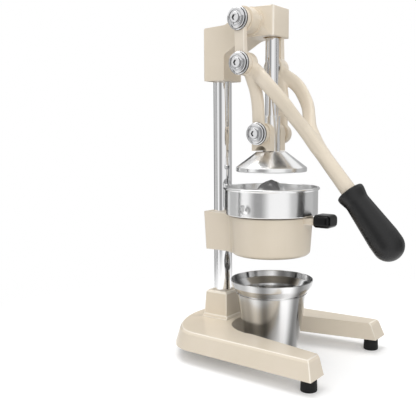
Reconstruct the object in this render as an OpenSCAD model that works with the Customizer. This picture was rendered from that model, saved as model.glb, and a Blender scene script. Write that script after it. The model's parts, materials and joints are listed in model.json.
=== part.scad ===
// Table-top lever citrus press: cast base, column, head and bowl holder, a wishbone lever that hangs
// on two side links, and a press cone that the lever drives straight down into a strainer bowl.
// Lengths are in millimetres. Up is +Z, the front of the press is -Y, and -X is its left side.
// Places are written from the press axis, and placed() then centres the whole press on the origin.

/* [Overall] */
// Height of the top of the head above the table
total_h = 422; // [400:1:450]
// Distance from the press axis back to the column axis
col_y = 73; // [68:0.5:84]
// Diameter of the column
col_d = 23; // [18:0.5:26]

/* [Base] */
// Thickness of the base casting
base_h = 21.5; // [16:0.5:30]
// Width of the deck at the front ends of the legs
deck_front_w = 190; // [176:1:210]
// How much narrower the deck gets for each millimetre towards the rear
deck_taper = 0.1; // [0:0.01:0.16]
// Distance from the press axis to the front ends of the legs
leg_front = 105.5; // [95:0.5:125]
// Radius of the bowed rear edge
rear_r = 109; // [100:0.5:116]
// Distance from the press axis back to the centre of that bow
rear_centre = 5; // [0:0.5:10]
// Radius of the rear corners
rear_corner_r = 44; // [12:1:50]
// How far the side walls lean out towards the table
draft = 6.5; // [2:0.5:9]
// Radius of the round end of the notch between the legs
notch_r = 51; // [45:0.5:55]
// Distance from the press axis to the rear of the notch
notch_rear = 47.5; // [42:0.5:50]
// Width of the notch at the front ends of the legs
notch_front_w = 140; // [120:1:150]
// Width of the pedestal at the deck
ped_bottom_w = 36; // [34:0.5:42]
// Width of the pedestal under its top bevel
ped_top_w = 32.5; // [31:0.5:34]
// Height of the pedestal above the deck
ped_h = 35; // [28:0.5:42]
// Width of the bevel round the top of the pedestal
ped_bevel = 1.8; // [1:0.1:2.4]
// Height of the plinth round the foot of the pedestal
plinth_h = 4; // [2:0.5:6]
// How far the plinth spreads at the deck
plinth_out = 2; // [1:0.1:4]

/* [Feet] */
// Height of the rubber feet
foot_h = 16; // [12:0.5:20]
// Diameter of the rubber feet
foot_d = 18.5; // [15:0.5:22]
// Distance of the front feet in from the sides of the deck
foot_front_side = 11; // [8:0.5:14]
// Distance of the front feet behind the front ends of the legs
foot_front_in = 5; // [4:0.5:10]
// Distance from the centre line to the rear feet
foot_rear_x = 44; // [36:0.5:50]
// Distance from the press axis back to the rear feet
foot_rear_y = 98; // [90:0.5:99]
// Diameter of the screws that hold the feet
foot_screw_d = 4.5; // [3.5:0.5:6]

/* [Head] */
// Width of the head casting
head_w = 37.4; // [34:0.2:40]
// Length of the column block, front to back
block_len = 31; // [29:0.5:34]
// Height of the column block
block_h = 64; // [56:1:72]
// Height of the beam at its front end
beam_h = 34.3; // [28:0.1:40]
// How far the beam reaches in front of the press axis
beam_front = 13.3; // [12:0.1:20]
// How far the top of the beam stands above the top of the column block
beam_rise = 18.5; // [10:0.5:24]
// Diameter of the pivot bosses on the sides of the beam
head_boss_d = 30; // [26:0.5:32]
// Radius of the upright edges at the front of the head
head_edge_r = 4; // [2:0.5:6]
// Radius of the upright edges at the rear of the head
head_rear_r = 1.5; // [1:0.5:4]
// How deep the column goes into the head
head_socket = 54; // [40:1:56]
// Outer diameter of the guide bush
bush_d = 22; // [20:0.2:24]

/* [Linkage] */
// Distance from the press axis back to the upper pivots
pivot_a_y = 17.2; // [15:0.1:19]
// Depth of the upper pivots below the top of the head
pivot_a_drop = 16.6; // [16.5:0.1:18]
// Length of a side link between its pivots
link_len = 50; // [47:0.1:52]
// Forward lean of the links at rest, in degrees
link_lean = 1.8; // [1:0.1:3]
// Length of a lever leg between its pivots
leg_len = 82; // [80:0.1:84]
// Distance from the press axis back to the lower pivots
pivot_c_y = 1; // [0:0.1:4]
// Thickness of a side link
link_t = 7.5; // [6:0.1:9]
// Width of a side link between its eyes
link_w = 13; // [10:0.5:16]
// Diameter of the link eyes
link_eye_d = 25; // [22:0.5:26]
// Diameter of the pivot bolts
pivot_d = 10; // [8:0.1:11]
// Wall of the bushes in the link eyes
link_bush_t = 2; // [1.5:0.1:3]
// Diameter of the heads of the left bolts
bolt_head_d = 26.8; // [24:0.1:28]
// Height of the heads of the left bolts
bolt_head_h = 8.6; // [6:0.1:10]
// Diameter of the flat heads of the right bolts
flat_head_d = 18; // [14:0.5:20]
// Height of the flat heads of the right bolts
flat_head_h = 2.4; // [1.5:0.1:3]
// Thickness of the nuts inside the fork
middle_nut_t = 4.5; // [3:0.1:4.8]
// Diameter of the nuts inside the fork
middle_nut_d = 23; // [16:0.5:24]

/* [Lever] */
// Half of the gap between the fork arms
fork_in = 26.5; // [25.5:0.1:28]
// Thickness of the lever bosses at the middle pivots
fork_boss_t = 11.5; // [10:0.1:13]
// Diameter of the lever bosses at the middle pivots
fork_boss_d = 27; // [24:0.5:29]
// Thickness of the eyes at the ends of the legs
leg_eye_t = 8.6; // [7:0.1:10]
// Diameter of the eyes at the ends of the legs
leg_eye_d = 24; // [21:0.5:26]
// Diameter of the lever bar
bar_d = 17; // [14:0.5:19]
// Diameter of the lever bar at the grip
bar_end_d = 18.4; // [15:0.1:20]
// Slope of the lever bar below the horizontal at rest, in degrees
bar_slope = 50; // [48:0.1:52]
// Distance forward from the press axis to the point where the arms meet the bar
bar_start_y = 66; // [63:0.5:69]
// Depth of that point below the middle pivots
bar_start_drop = 100.4; // [97:0.1:103]
// Length of the bar from that point to the grip
bar_len = 59.5; // [55:0.5:66]
// Length of the grip
grip_len = 93.4; // [85:0.1:100]
// Largest diameter of the grip
grip_d = 36.4; // [32:0.2:40]
// Diameter of the grip's waist
grip_waist_d = 28.2; // [26:0.1:30]
// Distance of the waist from the collar end of the grip
grip_waist_z = 15; // [12:0.5:20]
// Diameter of the grip's collar
grip_collar_d = 33; // [30:0.5:36]
// Diameter of the tang inside the grip
tang_d = 12; // [8:0.5:14]
// Length of the tang inside the grip
tang_len = 60; // [30:1:64]

/* [Press cone] */
// Diameter of the press rod
rod_d = 16; // [13:0.1:17]
// How far the rod's top lies below the top of the head at rest
rod_top_in = 6; // [2:0.5:12]
// Diameter of the hub of the press cone
hub_d = 20.4; // [20:0.1:22]
// Height of the hub's top above the lower pivots
hub_rise = 21.5; // [18:0.5:24]
// Diameter of the rim of the press cone
cone_d = 86.6; // [78:0.2:96]
// Depth of the rim's lower edge below the lower pivots
cone_drop = 45.5; // [44:0.1:48]
// Height of the band round the rim of the press cone
cone_band = 5; // [3:0.1:6]
// Depth of the cone's shoulder below the lower pivots
cone_shoulder = 21.5; // [21:0.1:23]
// Diameter of the cone at its shoulder
cone_shoulder_d = 36; // [34:0.5:40]
// Wall of the press cone
cone_wall = 2.6; // [1.5:0.1:3.5]
// Diameter of the stud below the rod
stud_d = 10; // [8:0.5:11]
// Width of the yoke across its cheeks
yoke_w = 35; // [33:0.2:38]
// Diameter of the yoke's pivot bosses
yoke_boss_d = 17; // [15:0.5:18]
// How far the yoke's pivot bosses stand out from its cheeks
yoke_boss_t = 4; // [1:0.1:5]
// Width of the slot in the front of the yoke
yoke_slot = 14.4; // [10:0.2:18]
// Distance from the press axis to the front of the yoke
yoke_front = 8.6; // [8:0.1:12]
// Length of the yoke, front to back
yoke_len = 26; // [24:0.5:28]
// Height of the yoke's top above the lower pivots
yoke_rise = 12.5; // [11:0.5:15]
// Depth of the yoke's feet below the lower pivots
yoke_drop = 20.5; // [19:0.1:20.8]

/* [Bowl holder] */
// Height of the holder's top above the table
holder_top = 176; // [172:0.5:182]
// Height of the holder casting
holder_h = 48.5; // [44:0.5:54]
// Outer diameter of the holder at its top
holder_top_d = 103; // [99:0.5:108]
// Outer diameter of the holder at its bottom
holder_bottom_d = 96.8; // [92:0.2:100]
// Wall of the holder
holder_wall = 5; // [4:0.1:6]
// Thickness of the holder's floor
holder_floor = 5; // [4:0.1:8]
// Radius of the round edge under the holder
holder_edge_r = 5; // [3:0.5:7]
// Width of the bracket that grips the column
bracket_w = 37; // [35:0.5:42]
// Distance from the column axis to the rear of the bracket, at its top
bracket_rear = 18.2; // [17:0.1:20]
// How far the rear of the bracket leans in towards its foot
bracket_lean = 3.2; // [0:0.1:3.4]
// Radius of the rear corners of the bracket
bracket_edge_r = 3; // [1:0.5:5]
// Radius of the hollow between bracket and ring
bracket_fillet = 14; // [8:0.5:18]
// Width of the front lug
lug_w = 18; // [14:0.5:22]
// Height of the front lug
lug_h = 8; // [6:0.5:10]
// Distance from the press axis to the front of the lug
lug_front = 80; // [76:0.5:82]
// Width of the bumper cap
bumper_w = 26; // [22:0.5:30]
// Height of the bumper cap
bumper_h = 15.4; // [13:0.2:18]
// Length of the bumper cap
bumper_len = 21; // [16:0.5:24]
// Radius of the edges of the bumper cap
bumper_edge_r = 4.5; // [2:0.5:5]
// Wall at the front of the bumper cap
bumper_wall = 5.2; // [3:0.1:6]

/* [Bowl] */
// Diameter of the bowl over its rolled rim
bowl_rim_d = 118.6; // [112:0.2:126]
// Height of the rim above the holder
bowl_h = 34.7; // [30:0.1:40]
// How far the rim stands out from the wall
bowl_rim_out = 2; // [1:0.1:4]
// Wall of the bowl
bowl_wall = 1.5; // [1:0.1:2]
// Depth of the well that drops into the holder
bowl_well = 5; // [3:0.1:7]
// Number of drain slots in the floor of the well
slot_count = 20; // [8:1:24]
// Width of a drain slot
slot_w = 3; // [2:0.1:4]
// Diameter of the dimples in the wall
dimple_d = 12; // [8:0.5:14]
// Diameter of the reamer at its foot
reamer_d = 58; // [48:0.5:64]
// Height of the reamer
reamer_h = 47; // [36:0.5:50]
// Number of ribs on the reamer
rib_count = 10; // [6:1:14]
// Height of the ribs
rib_h = 2.6; // [1:0.1:3.5]
// Inner diameter of the spout
spout_d = 14; // [8:0.5:20]
// How far the spout reaches below the holder
spout_drop = 6; // [3:0.5:10]
// Wall of the funnel
funnel_wall = 1.2; // [0.8:0.1:2]

/* [Cup] */
// Height of the cup
cup_h = 96; // [84:0.5:104]
// Diameter of the cup over its lip
cup_rim_d = 103; // [94:0.5:108]
// Diameter of the cup where its flare turns up into the lip
cup_flare_d = 99.6; // [90:0.2:101]
// Height where the flare turns up into the lip
cup_flare_z = 87.4; // [83:0.2:90]
// Height of the bead below the flare
cup_step_z = 79; // [70:0.5:82]
// Diameter of the cup's body under the bead
cup_step_d = 87; // [78:0.5:90]
// Height and reach of the bead
cup_bead = 1; // [0.6:0.1:1.6]
// Diameter of the cup's foot
cup_foot_d = 64; // [50:0.5:70]
// Wall of the cup
cup_wall = 1.4; // [1:0.1:2]
// How far the cup stands in front of the spout
cup_forward = 1.5; // [0:0.5:5]

/* [Clearances] */
// Gap all round a part that is clamped or pressed in place
fit_gap = 0.05; // [0.02:0.01:0.1]
// Radial gap of a pivot in its bush
pivot_gap = 0.06; // [0.02:0.01:0.1]
// Side gap between parts that turn on each other
side_gap = 0.4; // [0.3:0.05:0.8]
// Radial gap of the press rod in its guide bush
guide_gap = 0.9; // [0.8:0.05:1.2]

/* [Hidden] */
$fn = 64;
// Heights along the column
deck_z = foot_h + base_h;
ped_z = deck_z + ped_h;
beam_z = total_h - beam_h;
block_top = total_h - beam_rise;
block_z = block_top - block_h;
col_bottom = ped_z - 22;
col_top = block_z + head_socket;
// Pivots in the side view, as [y, z]
pivot_a = [pivot_a_y, total_h - pivot_a_drop];
pivot_b = pivot_a - link_len * [sin(link_lean), cos(link_lean)];
pivot_c = [pivot_c_y, pivot_b[1] - sqrt(leg_len * leg_len - pow(pivot_b[0] - pivot_c_y, 2))];
// Places across the press, from the centre line out
fork_out = fork_in + fork_boss_t;
link_in = fork_out + side_gap;
link_out = link_in + link_t;
leg_eye_in = yoke_w / 2 + yoke_boss_t + side_gap;
leg_eye_out = leg_eye_in + leg_eye_t;
// Lever bar in the side view
bar_dir = [-cos(bar_slope), -sin(bar_slope)];
bar_start = [-bar_start_y, pivot_b[1] - bar_start_drop];
bar_end = bar_start + bar_len * bar_dir;
// Press cone
hub_top = pivot_c[1] + hub_rise;
cone_bottom = pivot_c[1] - cone_drop;
cone_shoulder_z = pivot_c[1] - cone_shoulder;
rod_foot = cone_shoulder_z + 5;
rod_top = total_h - rod_top_in;
// Bowl holder
holder_z = holder_top - holder_h;
holder_in_r = holder_top_d / 2 - holder_wall;
funnel_seat = holder_top - bowl_well - 4.5;
lug_z = holder_top - lug_h;
bumper_z = lug_z + lug_h / 2 - bumper_h / 2 + 1.5;
bumper_front = lug_front + bumper_wall;
// Bowl
bowl_r = bowl_rim_d / 2 - bowl_rim_out;
well_r = holder_in_r - 0.5;
well_z = holder_top - bowl_well;
// Reach of the whole press, which sets its middle
rear_y = rear_centre + rear_r + draft;
grip_ball = bar_end + (grip_len - grip_d / 2) * bar_dir;
front_y = grip_ball[0] - grip_d / 2;
axis_y = -(front_y + rear_y) / 2;
// Bolt sizes that follow their trades
washer_t = 2;
foot_head_d = foot_screw_d * 2;
foot_head_h = foot_screw_d * 0.8;
col_bolt_d = 10;
col_bolt_head_d = 17;
col_bolt_head_h = 6.4;
col_bolt_pocket_d = 26;
col_bolt_depth = 18;
set_screw_d = 8;
eps = 0.01;

enamel = "#DBCFBE";
chrome = "#D5D8DC";
steel = "#C4C6C8";
black_rubber = "#1E1E20";
zinc = "#A9ACB0";
bronze = "#B08D57";

// Unit vector
function unit(v) = v / norm(v);

// Outline through corners [x, y, radius], each rounded by an arc of its own radius
function rounded(corners, steps = 8) = [
    for (i = [0 : len(corners) - 1])
        let (
            n = len(corners),
            q = corners[i],
            p = [q[0], q[1]],
            before = corners[(i + n - 1) % n],
            after = corners[(i + 1) % n],
            u = unit([before[0], before[1]] - p),
            v = unit([after[0], after[1]] - p),
            half = acos(max(-1, min(1, u * v))) / 2,
            centre = p + unit(u + v) * q[2] / sin(half),
            a = p + u * q[2] / tan(half) - centre,
            b = p + v * q[2] / tan(half) - centre,
            a0 = atan2(a[1], a[0]),
            turn = atan2(a[0] * b[1] - a[1] * b[0], a * b)
        )
        for (k = [0 : q[2] > 0 ? steps : 0])
            q[2] > 0
                ? centre + q[2] * [cos(a0 + turn * k / steps), sin(a0 + turn * k / steps)]
                : p
];

// Corners of a right half, followed by their mirror images on the left
function both_sides(corners) = concat(corners,
    [for (i = [len(corners) - 1 : -1 : 0]) [-corners[i][0], corners[i][1], corners[i][2]]]);

// Outline of the base, grown by out: straight sides, round rear corners and a bowed rear edge
function deck_outline(out) =
    let (
        front = [deck_front_w / 2 + out, -leg_front - out],
        along = unit([-deck_taper / 2, 1]),
        inward = [-along[1], along[0]],
        bow = [0, rear_centre],
        bow_r = rear_r + out,
        q = front + inward * rear_corner_r - bow,
        reach = bow_r - rear_corner_r,
        corner = q + along * (sqrt(pow(q * along, 2) - q * q + reach * reach) - q * along),
        a0 = atan2(-inward[1], -inward[0]),
        a1 = atan2(corner[1], corner[0]),
        right = concat(
            [for (k = [0 : 8]) let (a = a0 + (a1 - a0) * k / 8)
                bow + corner + rear_corner_r * [cos(a), sin(a)]],
            [for (k = [1 : 6]) let (a = a1 + (90 - a1) * k / 6) bow + bow_r * [cos(a), sin(a)]])
    )
    concat([[-front[0], front[1]], front], right,
        [for (k = [len(right) - 2 : -1 : 0]) [-right[k][0], right[k][1]]]);

// Point on a smooth curve from p1 to p2, with p0 and p3 as its neighbours
function curve_point(p0, p1, p2, p3, t) =
    0.5 * (2 * p1 + (p2 - p0) * t + (2 * p0 - 5 * p1 + 4 * p2 - p3) * t * t
        + (3 * p1 - p0 - 3 * p2 + p3) * t * t * t);

// Smooth run of stations through a list of stations [x, y, z, half width, half height]
function smooth(list, steps) = [
    for (i = [0 : len(list) - 2])
        for (k = [0 : i == len(list) - 2 ? steps : steps - 1])
            curve_point(list[max(i - 1, 0)], list[i], list[i + 1],
                list[min(i + 2, len(list) - 1)], k / steps)
];

// Solid bar with a rounded section, swept through stations [x, y, z, half width, half height]
module swept_bar(list, steps = 4, sides = 12) {
    run = smooth(list, steps);
    last = len(run) - 1;
    points = [
        for (i = [0 : last])
            let (
                s = run[i],
                p = run[max(i - 1, 0)],
                q = run[min(i + 1, last)],
                along = unit([q[0] - p[0], q[1] - p[1], q[2] - p[2]]),
                across = unit([1, 0, 0] - along[0] * along),
                over = cross(along, across)
            )
            for (k = [0 : sides - 1])
                let (a = 360 * (k + 0.5) / sides, c = cos(a), d = sin(a))
                [s[0], s[1], s[2]]
                    + across * s[3] * sign(c) * pow(abs(c), 0.75)
                    + over * s[4] * sign(d) * pow(abs(d), 0.75)
    ];
    walls = [
        for (i = [0 : last - 1])
            for (k = [0 : sides - 1])
                let (a = i * sides + k, b = i * sides + (k + 1) % sides)
                for (f = [[a, b + sides, b], [a, a + sides, b + sides]]) f
    ];
    ends = [[for (k = [0 : sides - 1]) k],
        [for (k = [sides - 1 : -1 : 0]) last * sides + k]];
    polyhedron(points, concat(walls, ends));
}

// Moves a piece from the press axis to the middle of the whole press
module placed() {
    translate([0, axis_y, 0]) children();
}

// Extrudes a side view, drawn as [y, z], to a plate of the given width across the press
module across_plate(width) {
    rotate([90, 0, 90]) translate([0, 0, -width / 2]) linear_extrude(width) children();
}

// Cylinder across the press on a pivot [y, z], from x0 to x1
module across_rod(pivot, d, x0, x1) {
    translate([x0, pivot[0], pivot[1]]) rotate([0, 90, 0]) cylinder(d = d, h = x1 - x0);
}

// Copies a piece to the other side of the press
module on_side(side) {
    if (side < 0) mirror([1, 0, 0]) children();
    else children();
}

// Places of the feet, as [x, y]
function foot_place(side, front) =
    front ? [side * (deck_front_w / 2 - foot_front_side), -leg_front + foot_front_in] : [side * foot_rear_x, foot_rear_y];

module base() {
    bevel_z = 3;
    color(enamel) placed() difference() {
        union() {
            difference() {
                hull() {
                    translate([0, 0, foot_h]) linear_extrude(eps) polygon(deck_outline(draft));
                    translate([0, 0, deck_z - bevel_z]) linear_extrude(eps) polygon(deck_outline(0.6));
                    translate([0, 0, deck_z - eps]) linear_extrude(eps) polygon(deck_outline(-1.8));
                }
                notch();
            }
            translate([0, col_y, 0]) hull() {
                translate([0, 0, deck_z - eps]) square_slab(ped_bottom_w + 2 * plinth_out);
                translate([0, 0, deck_z + plinth_h]) square_slab(ped_bottom_w + plinth_out / 2);
            }
            translate([0, col_y, 0]) hull() {
                translate([0, 0, deck_z]) square_slab(ped_bottom_w);
                translate([0, 0, ped_z - ped_bevel]) square_slab(ped_top_w);
                translate([0, 0, ped_z - eps]) square_slab(ped_top_w - 2 * ped_bevel);
            }
        }
        translate([0, col_y, col_bottom]) cylinder(d = col_d + 2 * fit_gap, h = total_h);
        translate([0, col_y, 0]) cylinder(d = col_bolt_d + 2 * fit_gap, h = total_h / 2);
        translate([0, col_y, foot_h - 1])
            cylinder(d = col_bolt_pocket_d, h = 1 + col_bolt_head_h + washer_t + 0.6);
        for (side = [-1, 1], front = [true, false])
            translate(foot_place(side, front)) translate([0, 0, foot_h - 1])
                cylinder(d = foot_screw_d + 2 * fit_gap, h = 1 + base_h * 0.6, $fn = 24);
    }
}

// Gap between the legs, open to the front
module notch() {
    // Where the straight sides start to spread, in front of the press axis
    spread_y = -5.5;
    front_x = notch_front_w / 2;
    past_front = 30;
    lean = (front_x - notch_r) / (leg_front + spread_y);
    translate([0, 0, foot_h - 1]) linear_extrude(base_h + 2) polygon(rounded(both_sides([
        [front_x + lean * past_front, -leg_front - past_front, 0],
        [notch_r, spread_y, 12],
        [notch_r, notch_rear, notch_r - 2.5]]), 12));
}

module square_slab(width) {
    linear_extrude(eps) square(width, center = true);
}

module foot(side, front) {
    color(black_rubber) placed() translate(foot_place(side, front)) difference() {
        rotate_extrude() polygon(rounded([[0, 0, 0], [foot_d / 2, 0, 1], [foot_d / 2, foot_h * 0.3, 1],
            [foot_d / 2 - 0.6, foot_h, 0.8], [0, foot_h, 0]], 4));
        translate([0, 0, -1]) cylinder(d = foot_screw_d + 2 * fit_gap, h = foot_h + 2, $fn = 24);
        translate([0, 0, -1]) cylinder(d = foot_head_d + 1, h = foot_h / 2 + 1, $fn = 32);
    }
}

module foot_screws() {
    color(zinc) placed() for (side = [-1, 1], front = [true, false])
        translate(foot_place(side, front)) union() {
            translate([0, 0, foot_h / 2 - foot_head_h]) cylinder(d = foot_head_d, h = foot_head_h, $fn = 32);
            translate([0, 0, foot_h / 2 - eps])
                cylinder(d = foot_screw_d, h = foot_h / 2 + base_h * 0.5, $fn = 24);
        }
}

module column() {
    edge = 1;
    color(chrome) placed() translate([0, col_y, 0]) difference() {
        rotate_extrude() polygon([[0, col_bottom], [col_d / 2 - edge, col_bottom],
            [col_d / 2, col_bottom + edge], [col_d / 2, col_top - edge],
            [col_d / 2 - edge, col_top], [0, col_top]]);
        translate([0, 0, col_bottom - 1]) cylinder(d = col_bolt_d + 2 * fit_gap, h = 1 + col_bolt_depth + 4);
    }
}

module column_bolt() {
    seat_z = foot_h + col_bolt_head_h + washer_t + 0.6;
    color(zinc) placed() translate([0, col_y, 0]) union() {
        translate([0, 0, seat_z - washer_t - col_bolt_head_h])
            cylinder(d = col_bolt_head_d / cos(30), h = col_bolt_head_h, $fn = 6);
        translate([0, 0, seat_z - washer_t]) cylinder(d = col_bolt_pocket_d - 2, h = washer_t);
        translate([0, 0, seat_z - eps]) cylinder(d = col_bolt_d, h = col_bottom + col_bolt_depth - seat_z);
    }
}

module head() {
    arch_rise = beam_z - block_z - block_len * 0.9;
    block_front = col_y - block_len / 2;
    block_rear = col_y + block_len / 2;
    collar_t = 3;
    color(enamel) placed() difference() {
        union() {
            intersection() {
                across_plate(head_w) polygon(rounded([
                    [block_rear, block_z, 2], [block_rear, block_top, 4],
                    [block_front - 2, block_top + 1.5, 12], [pivot_a[0] + 12, total_h, 8],
                    [-beam_front, total_h, 2], [-beam_front, beam_z, 2],
                    [block_front - 29, beam_z, 18], [block_front, block_z + arch_rise, 14],
                    [block_front, block_z, 2]], 6));
                linear_extrude(total_h) polygon(rounded(both_sides([
                    [head_w / 2, -beam_front, head_edge_r], [head_w / 2, block_rear, head_rear_r]]), 6));
            }
            for (side = [-1, 1]) on_side(side) {
                across_rod(pivot_a, head_boss_d, 0, link_in - side_gap);
                across_rod(pivot_a, head_boss_d + 3, 0, head_w / 2 + collar_t);
            }
        }
        translate([0, col_y, block_z - 1]) cylinder(d = col_d + 2 * fit_gap, h = col_top - block_z + 1);
        translate([0, 0, beam_z - 1]) cylinder(d = bush_d + 2 * fit_gap, h = beam_h + 2);
        for (side = [-1, 1]) on_side(side)
            across_rod(pivot_a, pivot_d + 2 * fit_gap, bush_d / 2 + 3, link_out);
        for (z = head_screw_heights()) rear_hole(block_rear, z);
    }
}

function head_screw_heights() = [block_z + block_h * 0.25, block_z + block_h * 0.65];
function holder_screw_heights() = [holder_z + holder_h * 0.3, holder_z + holder_h * 0.72];

// Hole from the rear face of a clamp block to the column
module rear_hole(rear, z) {
    translate([0, col_y, z]) rotate([-90, 0, 0])
        cylinder(d = set_screw_d + 2 * fit_gap, h = rear - col_y + 1, $fn = 32);
}

// Grub screw with a hexagon socket, from the column to just below the rear face
module rear_screw(rear, z) {
    start = col_y + col_d / 2 + fit_gap;
    translate([0, start, z]) rotate([-90, 0, 0]) difference() {
        cylinder(d = set_screw_d, h = rear - start - 0.5, $fn = 32);
        translate([0, 0, rear - start - 4.5]) cylinder(d = set_screw_d / 2, h = 5, $fn = 6);
    }
}

module guide_bush() {
    color(bronze) placed() translate([0, 0, beam_z]) difference() {
        cylinder(d = bush_d, h = beam_h);
        translate([0, 0, -1]) cylinder(d = rod_d + 2 * guide_gap, h = beam_h + 2);
    }
}

module head_set_screws() {
    color(zinc) placed() for (z = head_screw_heights()) rear_screw(col_y + block_len / 2, z);
}

module bowl_holder() {
    top_r = holder_top_d / 2;
    bottom_r = holder_bottom_d / 2;
    spout_hole = spout_d + 2 * funnel_wall + 2;
    color(enamel) placed() difference() {
        union() {
            rotate_extrude() polygon(rounded([[0, holder_z, 0], [bottom_r, holder_z, holder_edge_r],
                [top_r, holder_top, 1], [0, holder_top, 0]], 6));
            bracket();
            translate([-lug_w / 2, -lug_front, lug_z]) cube([lug_w, lug_front - holder_in_r, lug_h]);
        }
        translate([0, 0, holder_z - 1]) cylinder(d = spout_hole, h = holder_h + 2);
        translate([0, 0, holder_z + holder_floor]) cylinder(r = holder_in_r - 2, h = holder_h);
        translate([0, 0, funnel_seat]) cylinder(r = holder_in_r, h = holder_h);
        translate([0, col_y, holder_z - 1]) cylinder(d = col_d + 2 * fit_gap, h = holder_h + 2);
        for (z = holder_screw_heights()) rear_hole(bracket_rear_at(z), z);
    }
}

// Place of the bracket's rear face at a height
function bracket_rear_at(z) = col_y + bracket_rear - bracket_lean * (holder_top - z) / holder_h;

// Clamp block round the column, with hollows where it runs into the ring
module bracket() {
    ring_r = (holder_top_d + holder_bottom_d) / 4;
    hollow_x = bracket_w / 2 + bracket_fillet;
    hollow_y = sqrt(pow(ring_r + bracket_fillet, 2) - hollow_x * hollow_x);
    start = atan2(-hollow_y, -hollow_x);
    turn = -180 - start;
    half = bracket_w / 2;
    right = concat(
        [[0, 0], [hollow_x, hollow_y] * (ring_r - 3) / (ring_r + bracket_fillet)],
        [for (k = [0 : 8]) let (a = start + turn * k / 8)
            [hollow_x, hollow_y] + bracket_fillet * [cos(a), sin(a)]],
        [[half, col_y], [0, col_y]]);
    translate([0, 0, holder_z]) linear_extrude(holder_h) {
        polygon(right);
        mirror([1, 0]) polygon(right);
    }
    hull() for (z = [holder_z, holder_top - eps]) translate([0, 0, z]) linear_extrude(eps)
        polygon(rounded(both_sides([[half, col_y - eps, 0], [half, bracket_rear_at(z), bracket_edge_r]]), 6));
}

module holder_set_screws() {
    color(zinc) placed() for (z = holder_screw_heights()) rear_screw(bracket_rear_at(z), z);
}

module bumper_cap() {
    gap = 2 * fit_gap;
    rear_round = 2.5;
    color(black_rubber) placed() difference() {
        translate([0, -bumper_front, bumper_z + bumper_h / 2]) rotate([-90, 0, 0]) hull() {
            for (a = [0 : 18 : 90]) translate([0, 0, bumper_edge_r * (1 - cos(a))])
                linear_extrude(eps) bumper_face(bumper_edge_r * (1 - sin(a)));
            for (a = [0 : 30 : 90]) translate([0, 0, bumper_len - eps - rear_round * (1 - cos(a))])
                linear_extrude(eps) bumper_face(rear_round * (1 - sin(a)));
        }
        translate([-lug_w / 2 - gap, -lug_front - gap, lug_z - gap])
            cube([lug_w + 2 * gap, bumper_len + 2, lug_h + 2 * gap]);
    }
}

// Rounded end face of the bumper cap, drawn in by a given inset
module bumper_face(inset) {
    w = bumper_w / 2 - inset;
    h = bumper_h / 2 - inset;
    r = max(bumper_edge_r + 1 - inset, 1);
    polygon(rounded([[w, -h, r], [w, h, r], [-w, h, r], [-w, -h, r]], 5));
}

module juice_funnel() {
    top_r = holder_in_r - fit_gap - 0.3;
    spout_r = spout_d / 2;
    throat = holder_z + holder_floor + 4;
    low = holder_z - spout_drop;
    t = funnel_wall;
    color(steel) placed() rotate_extrude() polygon([
        [spout_r, low], [spout_r + t, low], [spout_r + t, throat],
        [holder_in_r - 4, funnel_seat], [top_r, funnel_seat], [top_r, funnel_seat + t],
        [holder_in_r - 4.6, funnel_seat + t], [spout_r, throat + 0.8]]);
}

module strainer_bowl() {
    t = bowl_wall;
    rim_z = holder_top + bowl_h;
    corner = 4;
    slot_in = reamer_d / 2 + rib_h;
    slot_out = well_r - t - 2;
    color(steel) placed() difference() {
        union() {
            rotate_extrude() polygon(concat(
                [[0, well_z], [well_r, well_z], [well_r, holder_top]],
                [for (k = [0 : 6]) let (a = -90 + 90 * k / 6)
                    [bowl_r - corner + corner * cos(a), holder_top + corner + corner * sin(a)]],
                [[bowl_r, rim_z - 3]],
                [for (k = [0 : 8]) let (a = -90 + 180 * k / 8)
                    [bowl_r + bowl_rim_out - 1.6 + 1.6 * cos(a), rim_z - 1.6 + 1.6 * sin(a)]],
                [[bowl_r - t, rim_z]],
                [for (k = [0 : 6]) let (a = -90 * k / 6)
                    [bowl_r - corner + (corner - t) * cos(a), holder_top + corner + (corner - t) * sin(a)]],
                [[well_r - t, holder_top + t], [well_r - t, well_z + t], [0, well_z + t]]));
            for (side = [-1, 1]) on_side(side) dimple();
        }
        for (i = [0 : slot_count - 1]) rotate([0, 0, 360 * (i + 0.5) / slot_count])
            translate([slot_in, -slot_w / 2, well_z - 1]) cube([slot_out - slot_in, slot_w, t + 2]);
    }
}

// Round dimple pressed out of the bowl's wall, a low dome that starts inside the wall
module dimple() {
    rise = 2.2;
    half = dimple_d / 2;
    dome_r = (half * half + rise * rise) / (2 * rise);
    half_angle = asin(half / dome_r);
    translate([bowl_r, 0, holder_top + bowl_h * 0.31]) rotate([0, 90, 0]) rotate_extrude() polygon(concat(
        [[0, -bowl_wall / 2], [half, -bowl_wall / 2]],
        [for (k = [0 : 6]) let (a = half_angle * (1 - k / 6))
            [dome_r * sin(a), rise - dome_r + dome_r * cos(a)]]));
}

module reamer_cone() {
    sides = rib_count * 6;
    rings = 12;
    foot_r = reamer_d / 2;
    foot_z = well_z + bowl_wall;
    // Radius of the cone at a share of its height, with a round tip
    function body_r(s) = (foot_r - rib_h) * sqrt(max(0, 1 - pow(s, 1.7)));
    points = concat([
        for (i = [0 : rings - 1])
            let (s = i / rings, rib = rib_h * (1 - s * s))
            for (k = [0 : sides - 1])
                let (a = 360 * k / sides, r = body_r(s) + rib * pow((1 + cos(rib_count * a)) / 2, 2))
                [r * cos(a), r * sin(a), s * reamer_h]
    ], [[0, 0, reamer_h]]);
    walls = [
        for (i = [0 : rings - 2])
            for (k = [0 : sides - 1])
                let (a = i * sides + k, b = i * sides + (k + 1) % sides)
                for (f = [[a, b + sides, b], [a, a + sides, b + sides]]) f
    ];
    tip = [for (k = [0 : sides - 1])
        [(rings - 1) * sides + k, rings * sides, (rings - 1) * sides + (k + 1) % sides]];
    color(steel) placed() translate([0, 0, foot_z])
        polyhedron(points, concat([[for (k = [0 : sides - 1]) k]], walls, tip));
}

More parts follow.
